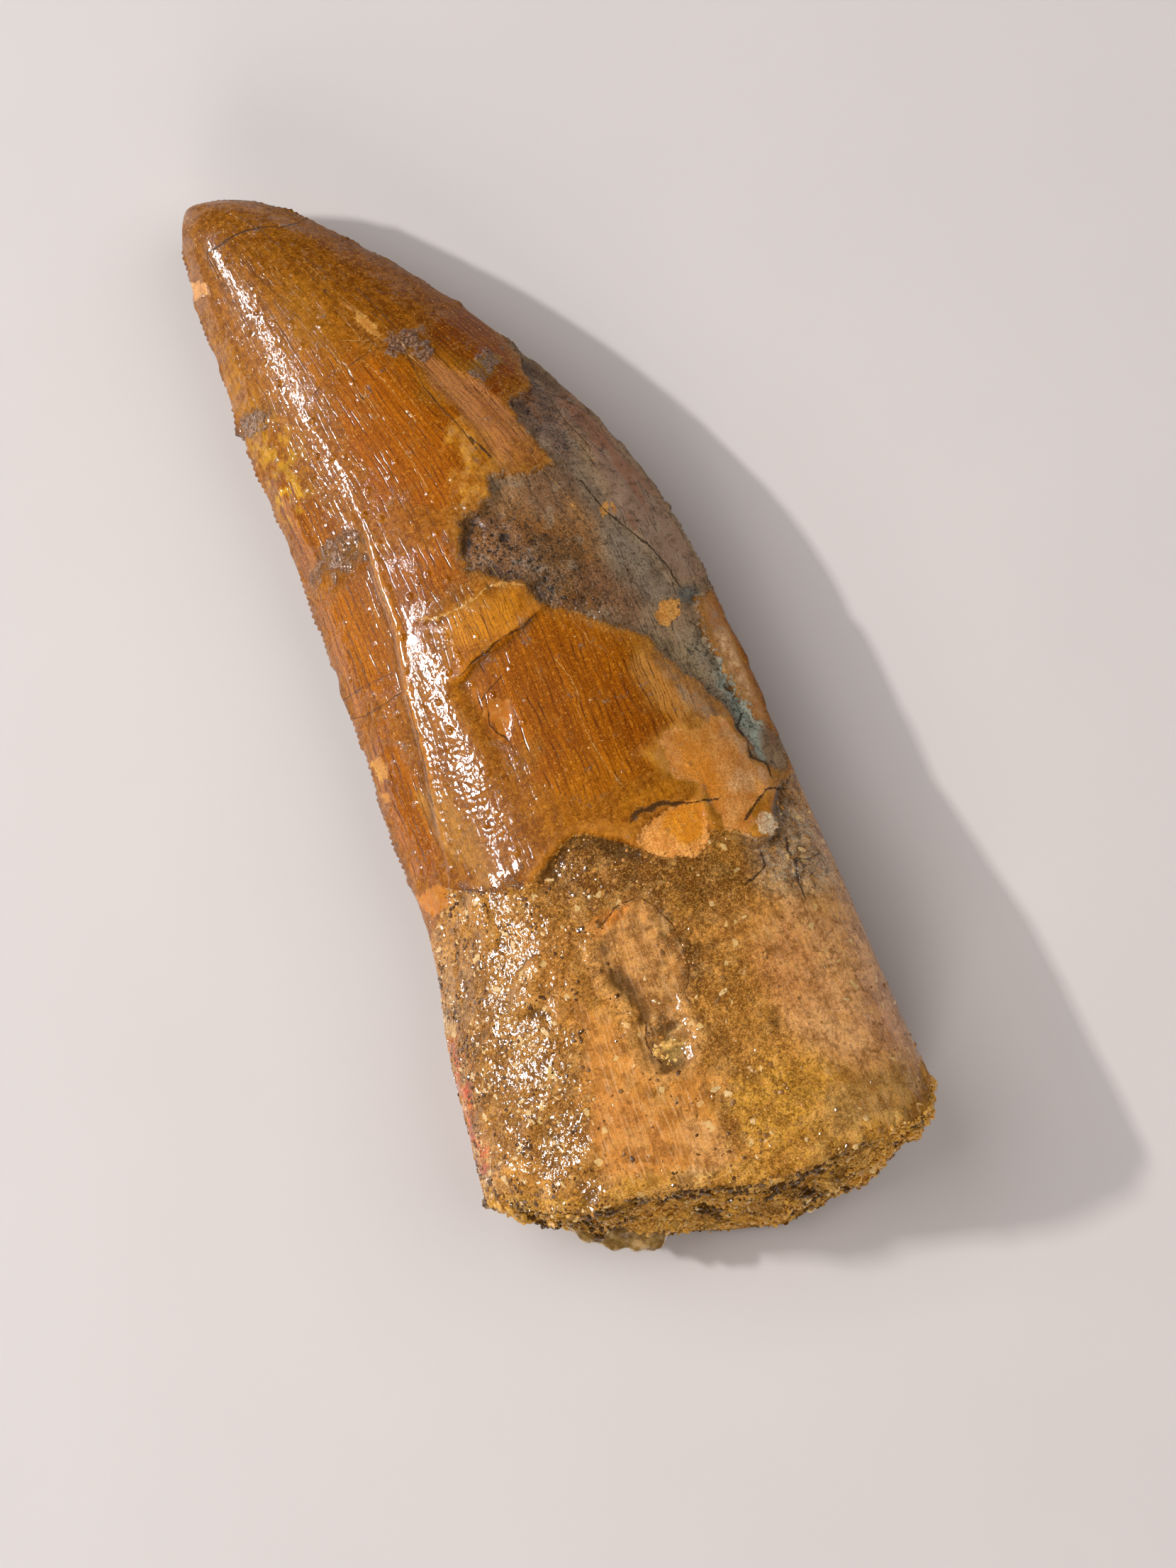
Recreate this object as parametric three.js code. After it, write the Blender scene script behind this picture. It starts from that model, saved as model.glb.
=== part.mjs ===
// Fossil tooth of a carcharodontosaurus, lying on its flatter face, all in one piece.
// Millimetres: +Y from the broken root to the tip, +X to the long curved cutting edge, +Z up.
// The outline is drawn with the middle of the broken root near (0, 0); the finished solid is then
// shifted so that the middle of its box's underside is the origin.

import * as THREE from 'three';

// Stations of the outline from root to tip: short edge x, y, then the point across on the long edge x, y.
const STATIONS = [
  [-15.2, 4.9, 15.75, -2.5],
  [-13.75, 10.8, 16.55, 6.0],
  [-12.4, 16.0, 17.35, 13.0],
  [-10.7, 20.8, 18.0, 20.0],
  [-9.7, 25.5, 18.75, 27.0],
  [-8.95, 31.5, 19.35, 33.0],
  [-7.8, 38.0, 19.8, 40.5],
  [-6.9, 44.5, 19.25, 46.5],
  [-5.85, 51.5, 18.1, 52.0],
  [-5.3, 57.5, 16.25, 57.3],
  [-4.6, 63.5, 14.25, 62.3],
  [-3.75, 68.5, 11.75, 67.4],
  [-3.15, 72.8, 9.15, 71.7],
  [-2.5, 75.6, 7.0, 75.1],
  [-1.85, 77.9, 4.75, 77.8],
  [-1.1, 79.5, 2.75, 79.4],
  [-0.45, 80.4, 1.25, 80.15],
  [0.25, 80.6, 0.25, 80.6],
];

// Section: half thickness as a share of half width, less on the wide root than at the slender tip.
const THICKNESS_SHARE = 0.56;
const THICKNESS_LOSS = 0.1;
const WIDEST_HALF = 16;

// The crown's section is a lens with sharp edges; the root's is a rounded oval.
const CROWN_POWER = 2.2;
const CROWN_ROUND = 0.85;
const ROOT_POWER = 2.6;
const ROOT_ROUND = 0.5;
const ROOT_ENDS = 12;
const CROWN_STARTS = 26;

// The tip end lifts off the surface along a parabola that starts here.
const LIFT_STARTS = 42;
const LIFT_RATE = 0.003;

// The underside is worn flat to this depth, which is what the tooth rests on.
const WORN_FLAT = 0.35;

// Depths of the surface's steps and pits.
const ENAMEL_STEP = 0.7;
const CHIP_STEP = 0.3;
const MATRIX_RECESS = 0.6;
const PLATE_STEP = 0.35;
const SIDE_STEP = 0.22;
const SCAR_DEPTH = 0.6;
const SCAR_RIM = 0.25;
const PIT_DEPTH = 1.0;
const CRUST_RELIEF = 0.36;
const BACK_GROOVE = 0.7;
const BREAK_RELIEF = 0.75;

// Serrations on both cutting edges, four edge points to a row of the mesh.
const SERRATION = 0.12;
const SERRATIONS_START = 26;
const EDGE_POINTS = 4;

// Fineness of the mesh.
const ROWS = 84;
const HALF_COLUMNS = 22;
const COLUMNS = 2 * HALF_COLUMNS;
const BREAK_STEPS = 7;
const TIP_CROWDING = 1.25;
const BEND_REACH = 0.3;

const ENAMEL_COLOUR = 0x9a5a16;

// Lower limits of the enamel on the two faces, drawn from the short edge to the long one.
const ENAMEL_LINE_FRONT = [
  [-9.5, 23.3], [-7.7, 23.8], [-6.8, 25.3], [-4.6, 23.8], [-2.5, 22.8], [0.5, 22.5], [2.4, 23.1], [4.6, 21.7],
  [6.6, 20.0], [8.8, 18.6], [10.8, 19.7], [13.2, 18.0], [16.0, 20.3], [18.4, 21.6],
];
const ENAMEL_LINE_BACK = [
  [-9.5, 23.3], [-6.0, 21.6], [-2.0, 23.4], [2.5, 25.6], [7.0, 25.0], [11.0, 22.6], [15.0, 21.0], [18.4, 21.6],
];

// The hollow that is filled with grey rock, the plates and the scar, drawn on the front face.
const MATRIX_PATCH = [
  [5.0, 45.0], [6.2, 44.0], [7.3, 42.3], [7.6, 40.4], [9.0, 38.8], [12.0, 36.5], [13.5, 33.8], [15.0, 31.0],
  [15.6, 26.0], [16.3, 22.5], [18.0, 24.0], [17.2, 28.0], [17.2, 33.5], [19.4, 35.2], [21.5, 36.0], [21.5, 46.0],
  [19.6, 54.0], [16.9, 57.4], [15.3, 56.0], [14.0, 54.5], [13.3, 53.0], [14.0, 49.0], [13.8, 47.3], [11.0, 46.4],
  [9.4, 47.0], [8.0, 45.3], [6.4, 45.9],
];
const ENAMEL_CHIPS = [
  [6.2, 20.6], [7.6, 22.6], [10.4, 23.0], [12.0, 21.6], [14.6, 21.4], [16.0, 20.2], [13.4, 17.6], [10.8, 19.2],
  [8.8, 18.0],
];
const LOWER_PLATE_TOP = [[0.8, 37.0], [2.2, 37.6], [4.6, 38.1], [7.4, 38.3], [9.2, 38.6]];
const SIDE_LINE = [
  [-7.0, 24.5], [-5.8, 28.0], [-4.6, 32.0], [-2.9, 37.0], [-1.7, 42.5], [-1.0, 46.5], [-0.4, 52.0],
];
const SCAR = [
  [-0.6, 14.0], [-0.2, 16.0], [0.7, 17.3], [2.2, 17.8], [3.9, 16.9], [5.0, 15.0], [4.8, 12.6], [3.7, 10.2],
  [2.3, 9.4], [0.8, 9.9], [-0.2, 12.0],
];
const PIT = [[-0.5, 8.3], [-0.5, 6.7], [0.2, 5.8], [1.4, 5.7], [2.5, 7.0], [2.8, 8.4], [1.6, 9.7], [0.4, 9.6]];

// The broken end: how far it reaches at the front rim and at the back rim, from the short edge to the long one.
const BREAK_FRONT = [
  [-15.2, 4.7], [-12.3, 2.4], [-9.4, 0.1], [-5.5, -0.4], [-1.7, -2.1], [1.4, -3.5], [4.0, -4.2], [8.0, -4.7],
  [14.5, -4.5], [15.8, -2.9],
];
const BREAK_BACK = [
  [-15.2, 5.0], [-12.3, 1.7], [-10.0, -0.3], [-7.0, -2.7], [-4.8, -2.8], [-1.5, -4.5], [2.2, -6.0], [9.0, -6.0],
  [14.3, -4.9], [15.8, -2.6],
];

// Bumps and nicks of the two edges: height along the tooth, reach and half length.
const SHORT_EDGE_MARKS = [[62.8, 0.45, 0.5], [41.8, 0.15, 0.6], [23.6, -0.3, 0.7]];
const LONG_EDGE_MARKS = [[53.9, -0.35, 0.8], [42.3, 0.25, 0.4], [30.0, 0.12, 0.8]];

const { smoothstep, lerp, clamp } = THREE.MathUtils;

// Straight-line reading of a list of [x, value] pairs.
function readAlong(pairs, x) {
  const last = pairs.length - 1;
  if (x <= pairs[0][0]) {
    return pairs[0][1];
  }
  for (let i = 0; i < last; i += 1) {
    if (x <= pairs[i + 1][0]) {
      const share = (x - pairs[i][0]) / (pairs[i + 1][0] - pairs[i][0]);
      return lerp(pairs[i][1], pairs[i + 1][1], share);
    }
  }
  return pairs[last][1];
}

// Distance from a closed outline, above zero inside it.
function depthInside(outline, x, y) {
  let nearest = Infinity;
  let inside = false;
  outline.forEach(([ax, ay], i) => {
    const [bx, by] = outline[(i + 1) % outline.length];
    const share = clamp(((x - ax) * (bx - ax) + (y - ay) * (by - ay)) / ((bx - ax) ** 2 + (by - ay) ** 2), 0, 1);
    nearest = Math.min(nearest, Math.hypot(x - lerp(ax, bx, share), y - lerp(ay, by, share)));
    if (ay > y !== by > y && x < ((bx - ax) * (y - ay)) / (by - ay) + ax) {
      inside = !inside;
    }
  });
  return inside ? nearest : -nearest;
}

// Lumpy value between about -1 and 1 at a spot; size is the usual distance from lump to lump.
function lumps(x, y, size, seed) {
  const turn = (2 * Math.PI) / size;
  const warp = Math.sin(0.31 * turn * x + 1.7 * seed) + Math.sin(0.43 * turn * y + 2.9 * seed);
  const first = Math.sin(turn * (0.93 * x + 0.37 * y) + 1.4 * warp + seed);
  const second = Math.sin(turn * (-0.41 * x + 0.9 * y) + 1.1 * warp + 3.1 * seed);
  const third = Math.sin(1.9 * turn * (0.6 * x - 0.8 * y) + warp + 5.3 * seed);
  return 0.45 * first * second + 0.35 * second + 0.2 * third;
}

// Outward height of the front face's steps, pits and crust above the plain form.
function frontRelief(x, y) {
  const enamelEdge = y - readAlong(ENAMEL_LINE_FRONT, x) - 0.35 * lumps(x, y, 3.1, 1);
  const onRoot = 1 - smoothstep(enamelEdge, -0.4, 0.4);
  const fadeDown = smoothstep(y, 6, 22);
  let height = -ENAMEL_STEP * onRoot * lerp(0.35, 1, fadeDown);
  height -= CHIP_STEP * (1 - onRoot) * smoothstep(depthInside(ENAMEL_CHIPS, x, y), -0.3, 0.5);

  const matrix = smoothstep(depthInside(MATRIX_PATCH, x, y) + 0.3 * lumps(x, y, 2.3, 2), -0.4, 0.5);
  height += matrix * (0.16 * lumps(x, y, 2.6, 3) - MATRIX_RECESS);

  const belowPlate = readAlong(LOWER_PLATE_TOP, x) - y;
  const plateSides = smoothstep(x, -0.6, 0.8) * (1 - smoothstep(x, 9, 12));
  const plateFade = 1 - smoothstep(belowPlate, 2, 13);
  height -= PLATE_STEP * smoothstep(belowPlate, -0.4, 0.4) * plateSides * plateFade * (1 - matrix);

  const sideTurned = SIDE_LINE.map(([lineX, lineY]) => [lineY, lineX]);
  const besideLine = readAlong(sideTurned, y) - x;
  const sideSpan = smoothstep(y, 24, 30) * (1 - smoothstep(y, 46, 54));
  height -= SIDE_STEP * smoothstep(besideLine, -0.3, 0.8) * sideSpan;

  const scar = depthInside(SCAR, x, y);
  const rim = Math.exp(-((scar + 0.5) ** 2) / 0.35);
  height += SCAR_RIM * rim * onRoot - SCAR_DEPTH * smoothstep(scar, -0.2, 0.7);
  height -= PIT_DEPTH * smoothstep(depthInside(PIT, x, y), -0.3, 0.9);

  const smoothSide = 1 - 0.65 * smoothstep(x, 7, 11) * (1 - smoothstep(y, 11, 15));
  const crust = 0.6 * lumps(x, y, 3.4, 4) + 0.4 * lumps(x, y, 1.9, 5);
  height += CRUST_RELIEF * crust * onRoot * smoothSide * (1 - smoothstep(scar, -0.6, 0.2));
  return height;
}

// Outward height of the back face's relief, with a shallow groove down the middle of the root.
function backRelief(x, y, middle) {
  const enamelEdge = y - readAlong(ENAMEL_LINE_BACK, x) - 0.4 * lumps(x, y, 3.6, 6);
  const onRoot = 1 - smoothstep(enamelEdge, -0.5, 0.5);
  const offMiddle = (x - middle) / 3.6;
  const groove = Math.exp(-offMiddle * offMiddle) * smoothstep(-y, -22, -6);
  const crust = 0.6 * lumps(x, y, 3.7, 7) + 0.4 * lumps(x, y, 2.1, 8);
  return 0.8 * CRUST_RELIEF * crust * onRoot - BACK_GROOVE * groove;
}

// Plain form and relief at a share of the length (0 root, 1 tip) and across (-1 short edge, 1 long edge).
const shortEdge = new THREE.SplineCurve(STATIONS.map(([x, y]) => new THREE.Vector2(x, y)));
const longEdge = new THREE.SplineCurve(STATIONS.map((station) => new THREE.Vector2(station[2], station[3])));

function breakReach(x, z) {
  const share = clamp(z / 14, 0, 1);
  return lerp(readAlong(BREAK_BACK, x), readAlong(BREAK_FRONT, x), share);
}

function sectionPoint(along, across, onFront) {
  const start = shortEdge.getPoint(along);
  const end = longEdge.getPoint(along);
  const half = start.distanceTo(end) / 2;
  const thick = half * (THICKNESS_SHARE - (THICKNESS_LOSS * half) / WIDEST_HALF);
  const spot = start.clone().lerp(end, (across + 1) / 2);
  const root = 1 - smoothstep(spot.y, ROOT_ENDS, CROWN_STARTS);
  const power = lerp(CROWN_POWER, ROOT_POWER, root);
  const round = lerp(CROWN_ROUND, ROOT_ROUND, root);
  const shape = Math.max(1 - Math.abs(across) ** power, 0) ** round;
  const lift = LIFT_RATE * Math.max(spot.y - LIFT_STARTS, 0) ** 2;
  const plain = lift + thick + (onFront ? thick : -thick) * shape;
  return { x: spot.x, y: spot.y, z: plain, middle: (start.x + end.x) / 2 };
}

function toothPoint(along, across, onFront) {
  const point = sectionPoint(along, across, onFront);
  const rim = sectionPoint(0, across, onFront);
  const bend = Math.max(1 - along / BEND_REACH, 0) ** 2;
  point.y += (breakReach(rim.x, rim.z) - rim.y) * bend;
  const edgeFade = 1 - Math.abs(across) ** 10;
  if (onFront) {
    point.z += frontRelief(point.x, point.y) * edgeFade;
  } else {
    point.z -= backRelief(point.x, point.y, point.middle) * edgeFade;
  }
  return new THREE.Vector3(point.x, point.y, Math.max(point.z, WORN_FLAT));
}

// Point of a cutting edge, pushed out and in by its serrations, bumps and nicks.
function edgePoint(along, isLong, step) {
  const across = isLong ? 1 : -1;
  const point = toothPoint(along, across, true);
  const curve = isLong ? longEdge : shortEdge;
  const tangent = curve.getTangent(clamp(along, 0.001, 0.999));
  const outward = isLong ? new THREE.Vector2(tangent.y, -tangent.x) : new THREE.Vector2(-tangent.y, tangent.x);
  const fade = smoothstep(point.y, SERRATIONS_START, SERRATIONS_START + 3) * (1 - smoothstep(along, 0.97, 1));
  let reach = (step % 2 === 0 ? SERRATION : -SERRATION) * fade;
  const marks = isLong ? LONG_EDGE_MARKS : SHORT_EDGE_MARKS;
  marks.forEach(([height, size, length]) => {
    reach += size * Math.exp(-(((point.y - height) / length) ** 2));
  });
  point.x += outward.x * reach;
  point.y += outward.y * reach;
  return point;
}

// All vertices: columns run round the tooth from the short edge over the front to the long edge and back.
function buildTooth() {
  const vertices = [];
  const triangles = [];
  const place = (row) => 1 - (1 - row / ROWS) ** TIP_CROWDING;

  function addVertex(point) {
    vertices.push(point.x, point.y, point.z);
    return vertices.length / 3 - 1;
  }

  const tip = addVertex(toothPoint(1, 0, true));
  const columns = [];
  for (let column = 0; column < COLUMNS; column += 1) {
    const isEdge = column % HALF_COLUMNS === 0;
    const steps = isEdge ? EDGE_POINTS : 1;
    const list = [];
    for (let step = 0; step < ROWS * steps; step += 1) {
      const row = step / steps;
      const along = place(row);
      const across = -Math.cos((Math.PI * column) / HALF_COLUMNS);
      const point = isEdge
        ? edgePoint(along, column === HALF_COLUMNS, step)
        : toothPoint(along, across, column < HALF_COLUMNS);
      list.push({ row, index: addVertex(point) });
    }
    columns.push(list);
  }

  // Joins two neighbouring columns, always taking the next vertex of the one that lags behind.
  function stitch(left, right) {
    let i = 0;
    let j = 0;
    while (i < left.length - 1 || j < right.length - 1) {
      const leftNext = i < left.length - 1 ? left[i + 1].row : Infinity;
      const rightNext = j < right.length - 1 ? right[j + 1].row : Infinity;
      if (leftNext <= rightNext) {
        triangles.push(left[i].index, right[j].index, left[i + 1].index);
        i += 1;
      } else {
        triangles.push(left[i].index, right[j].index, right[j + 1].index);
        j += 1;
      }
    }
    triangles.push(left[i].index, right[j].index, tip);
  }
  columns.forEach((column, i) => stitch(column, columns[(i + 1) % COLUMNS]));

  // The broken end closes with strips from the front rim to the back rim that follow the rough break.
  function breakPoint(rimFront, rimBack, share) {
    const x = lerp(rimFront.x, rimBack.x, share);
    const z = lerp(rimFront.z, rimBack.z, share);
    const roughness = 0.65 * lumps(x, z, 5.1, 9) + 0.35 * lumps(x, z, 2.7, 10);
    const inward = Math.sin(Math.PI * share) ** 0.5;
    return new THREE.Vector3(x, breakReach(x, z) + inward * BREAK_RELIEF * roughness, z);
  }

  const rimPoint = (column) => {
    const first = 3 * columns[column][0].index;
    return new THREE.Vector3(vertices[first], vertices[first + 1], vertices[first + 2]);
  };
  const shortEnd = columns[0][0].index;
  const longEnd = columns[HALF_COLUMNS][0].index;
  const strips = [new Array(BREAK_STEPS + 1).fill(shortEnd)];
  for (let column = 1; column < HALF_COLUMNS; column += 1) {
    const across = COLUMNS - column;
    const strip = [columns[column][0].index];
    for (let step = 1; step < BREAK_STEPS; step += 1) {
      strip.push(addVertex(breakPoint(rimPoint(column), rimPoint(across), step / BREAK_STEPS)));
    }
    strip.push(columns[across][0].index);
    strips.push(strip);
  }
  strips.push(new Array(BREAK_STEPS + 1).fill(longEnd));
  for (let column = 0; column < HALF_COLUMNS; column += 1) {
    const [left, right] = [strips[column], strips[column + 1]];
    for (let step = 0; step < BREAK_STEPS; step += 1) {
      if (left !== strips[0]) {
        triangles.push(left[step], left[step + 1], right[step]);
      }
      if (column < HALF_COLUMNS - 1) {
        triangles.push(left[step + 1], right[step + 1], right[step]);
      }
    }
  }

  const geometry = new THREE.BufferGeometry();
  geometry.setAttribute('position', new THREE.Float32BufferAttribute(vertices, 3));
  geometry.setIndex(triangles);
  return geometry;
}

// Shifts a geometry so that the middle of its box's underside is at the origin.
function standOnOrigin(geometry) {
  geometry.computeBoundingBox();
  const { min, max } = geometry.boundingBox;
  geometry.translate(-(min.x + max.x) / 2, -(min.y + max.y) / 2, -min.z);
  return geometry;
}

const material = new THREE.MeshStandardMaterial({ color: ENAMEL_COLOUR, roughness: 0.35, metalness: 0 });
const tooth = new THREE.Mesh(standOnOrigin(buildTooth()), material);
tooth.name = 'tooth';

const fossil = new THREE.Group();
fossil.add(tooth);

export default fossil;
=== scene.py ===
"""A fossil carcharodontosaurus tooth: amber enamel under clear lacquer, grey rock, and a sandy broken root.

The tooth lies on its flatter face on a pale table, and the camera looks down on it.
Shapes are worked out in millimetres in the tooth's drawing frame: +Y from root to tip, +X to the long edge.
"""
import math

import bpy
import numpy as np
from mathutils import Matrix, Vector


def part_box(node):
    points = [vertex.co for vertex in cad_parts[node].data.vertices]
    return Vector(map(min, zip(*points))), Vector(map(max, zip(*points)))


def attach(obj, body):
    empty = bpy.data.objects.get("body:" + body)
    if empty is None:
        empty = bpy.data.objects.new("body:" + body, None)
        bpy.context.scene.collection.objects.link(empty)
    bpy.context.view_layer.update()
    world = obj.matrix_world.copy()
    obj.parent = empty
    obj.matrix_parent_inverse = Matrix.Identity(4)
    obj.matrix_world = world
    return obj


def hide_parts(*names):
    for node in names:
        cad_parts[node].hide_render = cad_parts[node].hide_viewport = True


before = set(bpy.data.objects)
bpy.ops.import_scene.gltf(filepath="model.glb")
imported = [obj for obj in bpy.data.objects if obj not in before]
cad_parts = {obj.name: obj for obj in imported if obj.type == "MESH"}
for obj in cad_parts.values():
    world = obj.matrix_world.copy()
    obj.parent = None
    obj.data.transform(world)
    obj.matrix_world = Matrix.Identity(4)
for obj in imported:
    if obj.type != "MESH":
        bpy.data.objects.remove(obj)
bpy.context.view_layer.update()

# The tooth, form. The real crown is a flattened cone that curves back, with two sharp serrated edges, and
# it runs on into a wide rounded root that broke off across. Its outline was measured edge to edge at
# stations up the tooth, and a section is carried along them: a lens on the crown, an oval on the root.
STATIONS = np.array([
    [-15.2, 4.9, 15.75, -2.5],
    [-13.75, 10.8, 16.55, 6.0],
    [-12.4, 16.0, 17.35, 13.0],
    [-10.7, 20.8, 18.0, 20.0],
    [-9.7, 25.5, 18.75, 27.0],
    [-8.95, 31.5, 19.35, 33.0],
    [-7.8, 38.0, 19.8, 40.5],
    [-6.9, 44.5, 19.25, 46.5],
    [-5.85, 51.5, 18.1, 52.0],
    [-5.3, 57.5, 16.25, 57.3],
    [-4.6, 63.5, 14.25, 62.3],
    [-3.75, 68.5, 11.75, 67.4],
    [-3.15, 72.8, 9.15, 71.7],
    [-2.5, 75.6, 7.0, 75.1],
    [-1.85, 77.9, 4.75, 77.8],
    [-1.1, 79.5, 2.75, 79.4],
    [-0.45, 80.4, 1.25, 80.15],
    [0.25, 80.6, 0.25, 80.6],
])
THICKNESS_SHARE = 0.56
THICKNESS_LOSS = 0.1
WIDEST_HALF = 16.0
CROWN_POWER, CROWN_ROUND = 2.2, 0.85
ROOT_POWER, ROOT_ROUND = 2.6, 0.5
ROOT_ENDS, CROWN_STARTS = 12.0, 26.0
LIFT_STARTS, LIFT_RATE = 42.0, 0.003
WORN_FLAT = 0.35
BEND_REACH = 0.3
RIM_HEIGHT = 14.0
BREAK_FRONT = np.array([
    [-15.2, 4.7], [-12.3, 2.4], [-9.4, 0.1], [-5.5, -0.4], [-1.7, -2.1], [1.4, -3.5], [4.0, -4.2],
    [8.0, -4.7], [14.5, -4.5], [15.8, -2.9],
])
BREAK_BACK = np.array([
    [-15.2, 5.0], [-12.3, 1.7], [-10.0, -0.3], [-7.0, -2.7], [-4.8, -2.8], [-1.5, -4.5], [2.2, -6.0],
    [9.0, -6.0], [14.3, -4.9], [15.8, -2.6],
])
ROWS, ACROSS, BREAK_STEPS = 350, 128, 44
EDGE_STEPS = 3
FINE_STEPS = 2001
ROW_CROWDING, COLUMN_CROWDING = 1.06, 0.4
CELL_PRIMES = np.array([73856093, 19349663, 83492791])
SEED_PRIME, FIRST_PRIME, SECOND_PRIME = 2654435761, 1274126177, 2246822519


def smooth(value, low, high):
    """Goes from 0 at low to 1 at high along 3t^2 - 2t^3."""
    t = np.clip((value - low) / (high - low), 0.0, 1.0)
    return t * t * (3.0 - 2.0 * t)


def mix(low, high, share):
    """Straight blend: low at share 0, high at share 1."""
    return low + (high - low) * share


def follow(line, value):
    """Second number of a line, read off where its first number has that value."""
    return np.interp(value, line[:, 0], line[:, 1])


def edge_point(stations, along):
    """Point of an edge at a share of its stations: a cubic through each one, with its neighbours' slope."""
    last = len(stations) - 1
    spot = np.clip(along * last, 0.0, last - 1e-9)
    first = spot.astype(int)
    t = (spot - first)[..., None]
    before = stations[np.maximum(first - 1, 0)]
    start = stations[first]
    end = stations[first + 1]
    after = stations[np.minimum(first + 2, last)]
    slope_in = (end - before) / 2.0
    slope_out = (after - start) / 2.0
    cubic = (2.0 * start - 2.0 * end + slope_in + slope_out) * t ** 3
    return cubic + (-3.0 * start + 3.0 * end - 2.0 * slope_in - slope_out) * t ** 2 + slope_in * t + start


def cloud(points, size, seed):
    """Smooth random value, 0 to 1: random numbers at the corners of cells of that size, blended in between.

    The number at a corner is its place, multiplied by large primes and scrambled.
    """
    place = points / size + 37.7 * seed
    cell = np.floor(place).astype(np.int64)
    t = place - cell
    t = t * t * (3.0 - 2.0 * t)
    total = 0.0
    for corner in range(8):
        step = np.array([corner & 1, (corner >> 1) & 1, corner >> 2])
        key = (cell + step) @ CELL_PRIMES + SEED_PRIME * seed
        key = (key ^ (key >> 13)) * FIRST_PRIME & 0xFFFFFFFF
        key = (key ^ (key >> 16)) * SECOND_PRIME & 0xFFFFFFFF
        weight = np.prod(np.where(step == 1, t, 1.0 - t), axis=-1)
        total = total + weight * ((key >> 8) & 0xFFFF) / 65535.0
    return total


def rough(points, size, seed, layers=3):
    """Rough random value, about -1 to 1: clouds, each half the size and height of the one before."""
    total = 0.0
    for layer in range(layers):
        total = total + (cloud(points, size / 2 ** layer, seed + 11 * layer) - 0.5) / 2 ** layer
    return 1.6 * total


def depth_inside(outline, x, y):
    """Distance in millimetres from a closed outline: above zero inside it, below zero outside."""
    start = np.array(outline, float)
    end = np.roll(start, -1, axis=0)
    nearest = np.full(x.shape, 1e9)
    inside = np.zeros(x.shape, bool)
    for (ax, ay), (bx, by) in zip(start, end):
        share = ((x - ax) * (bx - ax) + (y - ay) * (by - ay)) / ((bx - ax) ** 2 + (by - ay) ** 2)
        share = np.clip(share, 0.0, 1.0)
        nearest = np.minimum(nearest, np.hypot(x - mix(ax, bx, share), y - mix(ay, by, share)))
        if ay != by:
            crosses = ((ay > y) != (by > y)) & (x < (bx - ax) * (y - ay) / (by - ay) + ax)
            inside ^= crosses
    return np.where(inside, nearest, -nearest)


def break_reach(x, z):
    """How far the broken end reaches: the back rim's line low down, the front rim's line high up."""
    return mix(follow(BREAK_BACK, x), follow(BREAK_FRONT, x), np.clip(z / RIM_HEIGHT, 0.0, 1.0))


def section_point(along, across, side):
    """Plain form: straight across from edge to edge, thick as the section's curve, side 1 front, -1 back."""
    start = edge_point(STATIONS[:, :2], along)
    end = edge_point(STATIONS[:, 2:], along)
    half = np.linalg.norm(end - start, axis=-1) / 2.0
    thick = half * (THICKNESS_SHARE - THICKNESS_LOSS * half / WIDEST_HALF)
    spot = start + (end - start) * ((across + 1.0) / 2.0)[..., None]
    root = 1.0 - smooth(spot[..., 1], ROOT_ENDS, CROWN_STARTS)
    power = mix(CROWN_POWER, ROOT_POWER, root)
    bulge = mix(CROWN_ROUND, ROOT_ROUND, root)
    shape = np.maximum(1.0 - np.abs(across) ** power, 0.0) ** bulge
    lift = LIFT_RATE * np.maximum(spot[..., 1] - LIFT_STARTS, 0.0) ** 2
    height = lift + thick + side * thick * shape
    return np.stack([spot[..., 0], spot[..., 1], height], axis=-1), half


def plain_point(along, across, side):
    """Plain form with its lowest rows bent down to meet the slanted break."""
    point, half = section_point(along, across, side)
    rim, _ = section_point(np.zeros_like(along), across, side)
    bend = np.maximum(1.0 - along / BEND_REACH, 0.0) ** 2
    point[..., 1] += (break_reach(rim[..., 0], rim[..., 2]) - rim[..., 1]) * bend
    return point, half


# Rows are evenly spaced along the middle of the tooth; columns crowd towards the rounded edges of the root.
fine_along = np.linspace(0.0, 1.0, FINE_STEPS)
middle_line = (edge_point(STATIONS[:, :2], fine_along) + edge_point(STATIONS[:, 2:], fine_along)) / 2.0
steps_up = np.linalg.norm(np.diff(middle_line, axis=0), axis=1)
length_up = np.concatenate([[0.0], np.cumsum(steps_up)])


def spread_along(share):
    """Place along the stations at a share of the tooth's length; the shares crowd a little to the tip."""
    return np.interp(length_up[-1] * (1.0 - (1.0 - share) ** ROW_CROWDING), length_up, fine_along)


row_along = spread_along(np.linspace(0.0, 1.0, ROWS + 1)[:-1])
row_root = 1.0 - smooth(np.interp(row_along, fine_along, middle_line[:, 1]), ROOT_ENDS, CROWN_STARTS)
column_share = np.arange(2 * ACROSS) / ACROSS
turn = -np.cos(np.pi * column_share)
straight = np.where(column_share <= 1.0, 2.0 * column_share - 1.0, 3.0 - 2.0 * column_share)
crown_column = (1.0 - COLUMN_CROWDING) * straight + COLUMN_CROWDING * turn
grid_across = mix(crown_column[None, :], turn[None, :], row_root[:, None])
grid_along = np.repeat(row_along[:, None], 2 * ACROSS, axis=1)
grid_side = np.where(np.arange(2 * ACROSS) <= ACROSS, 1.0, -1.0)[None, :] * np.ones((ROWS, 1))

# The two cutting edges get more points than the rows between them, so that they can carry serrations.
edge_count = ROWS * EDGE_STEPS
edge_along = spread_along(np.arange(edge_count) / edge_count)
edge_ones = np.ones(edge_count)


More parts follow.
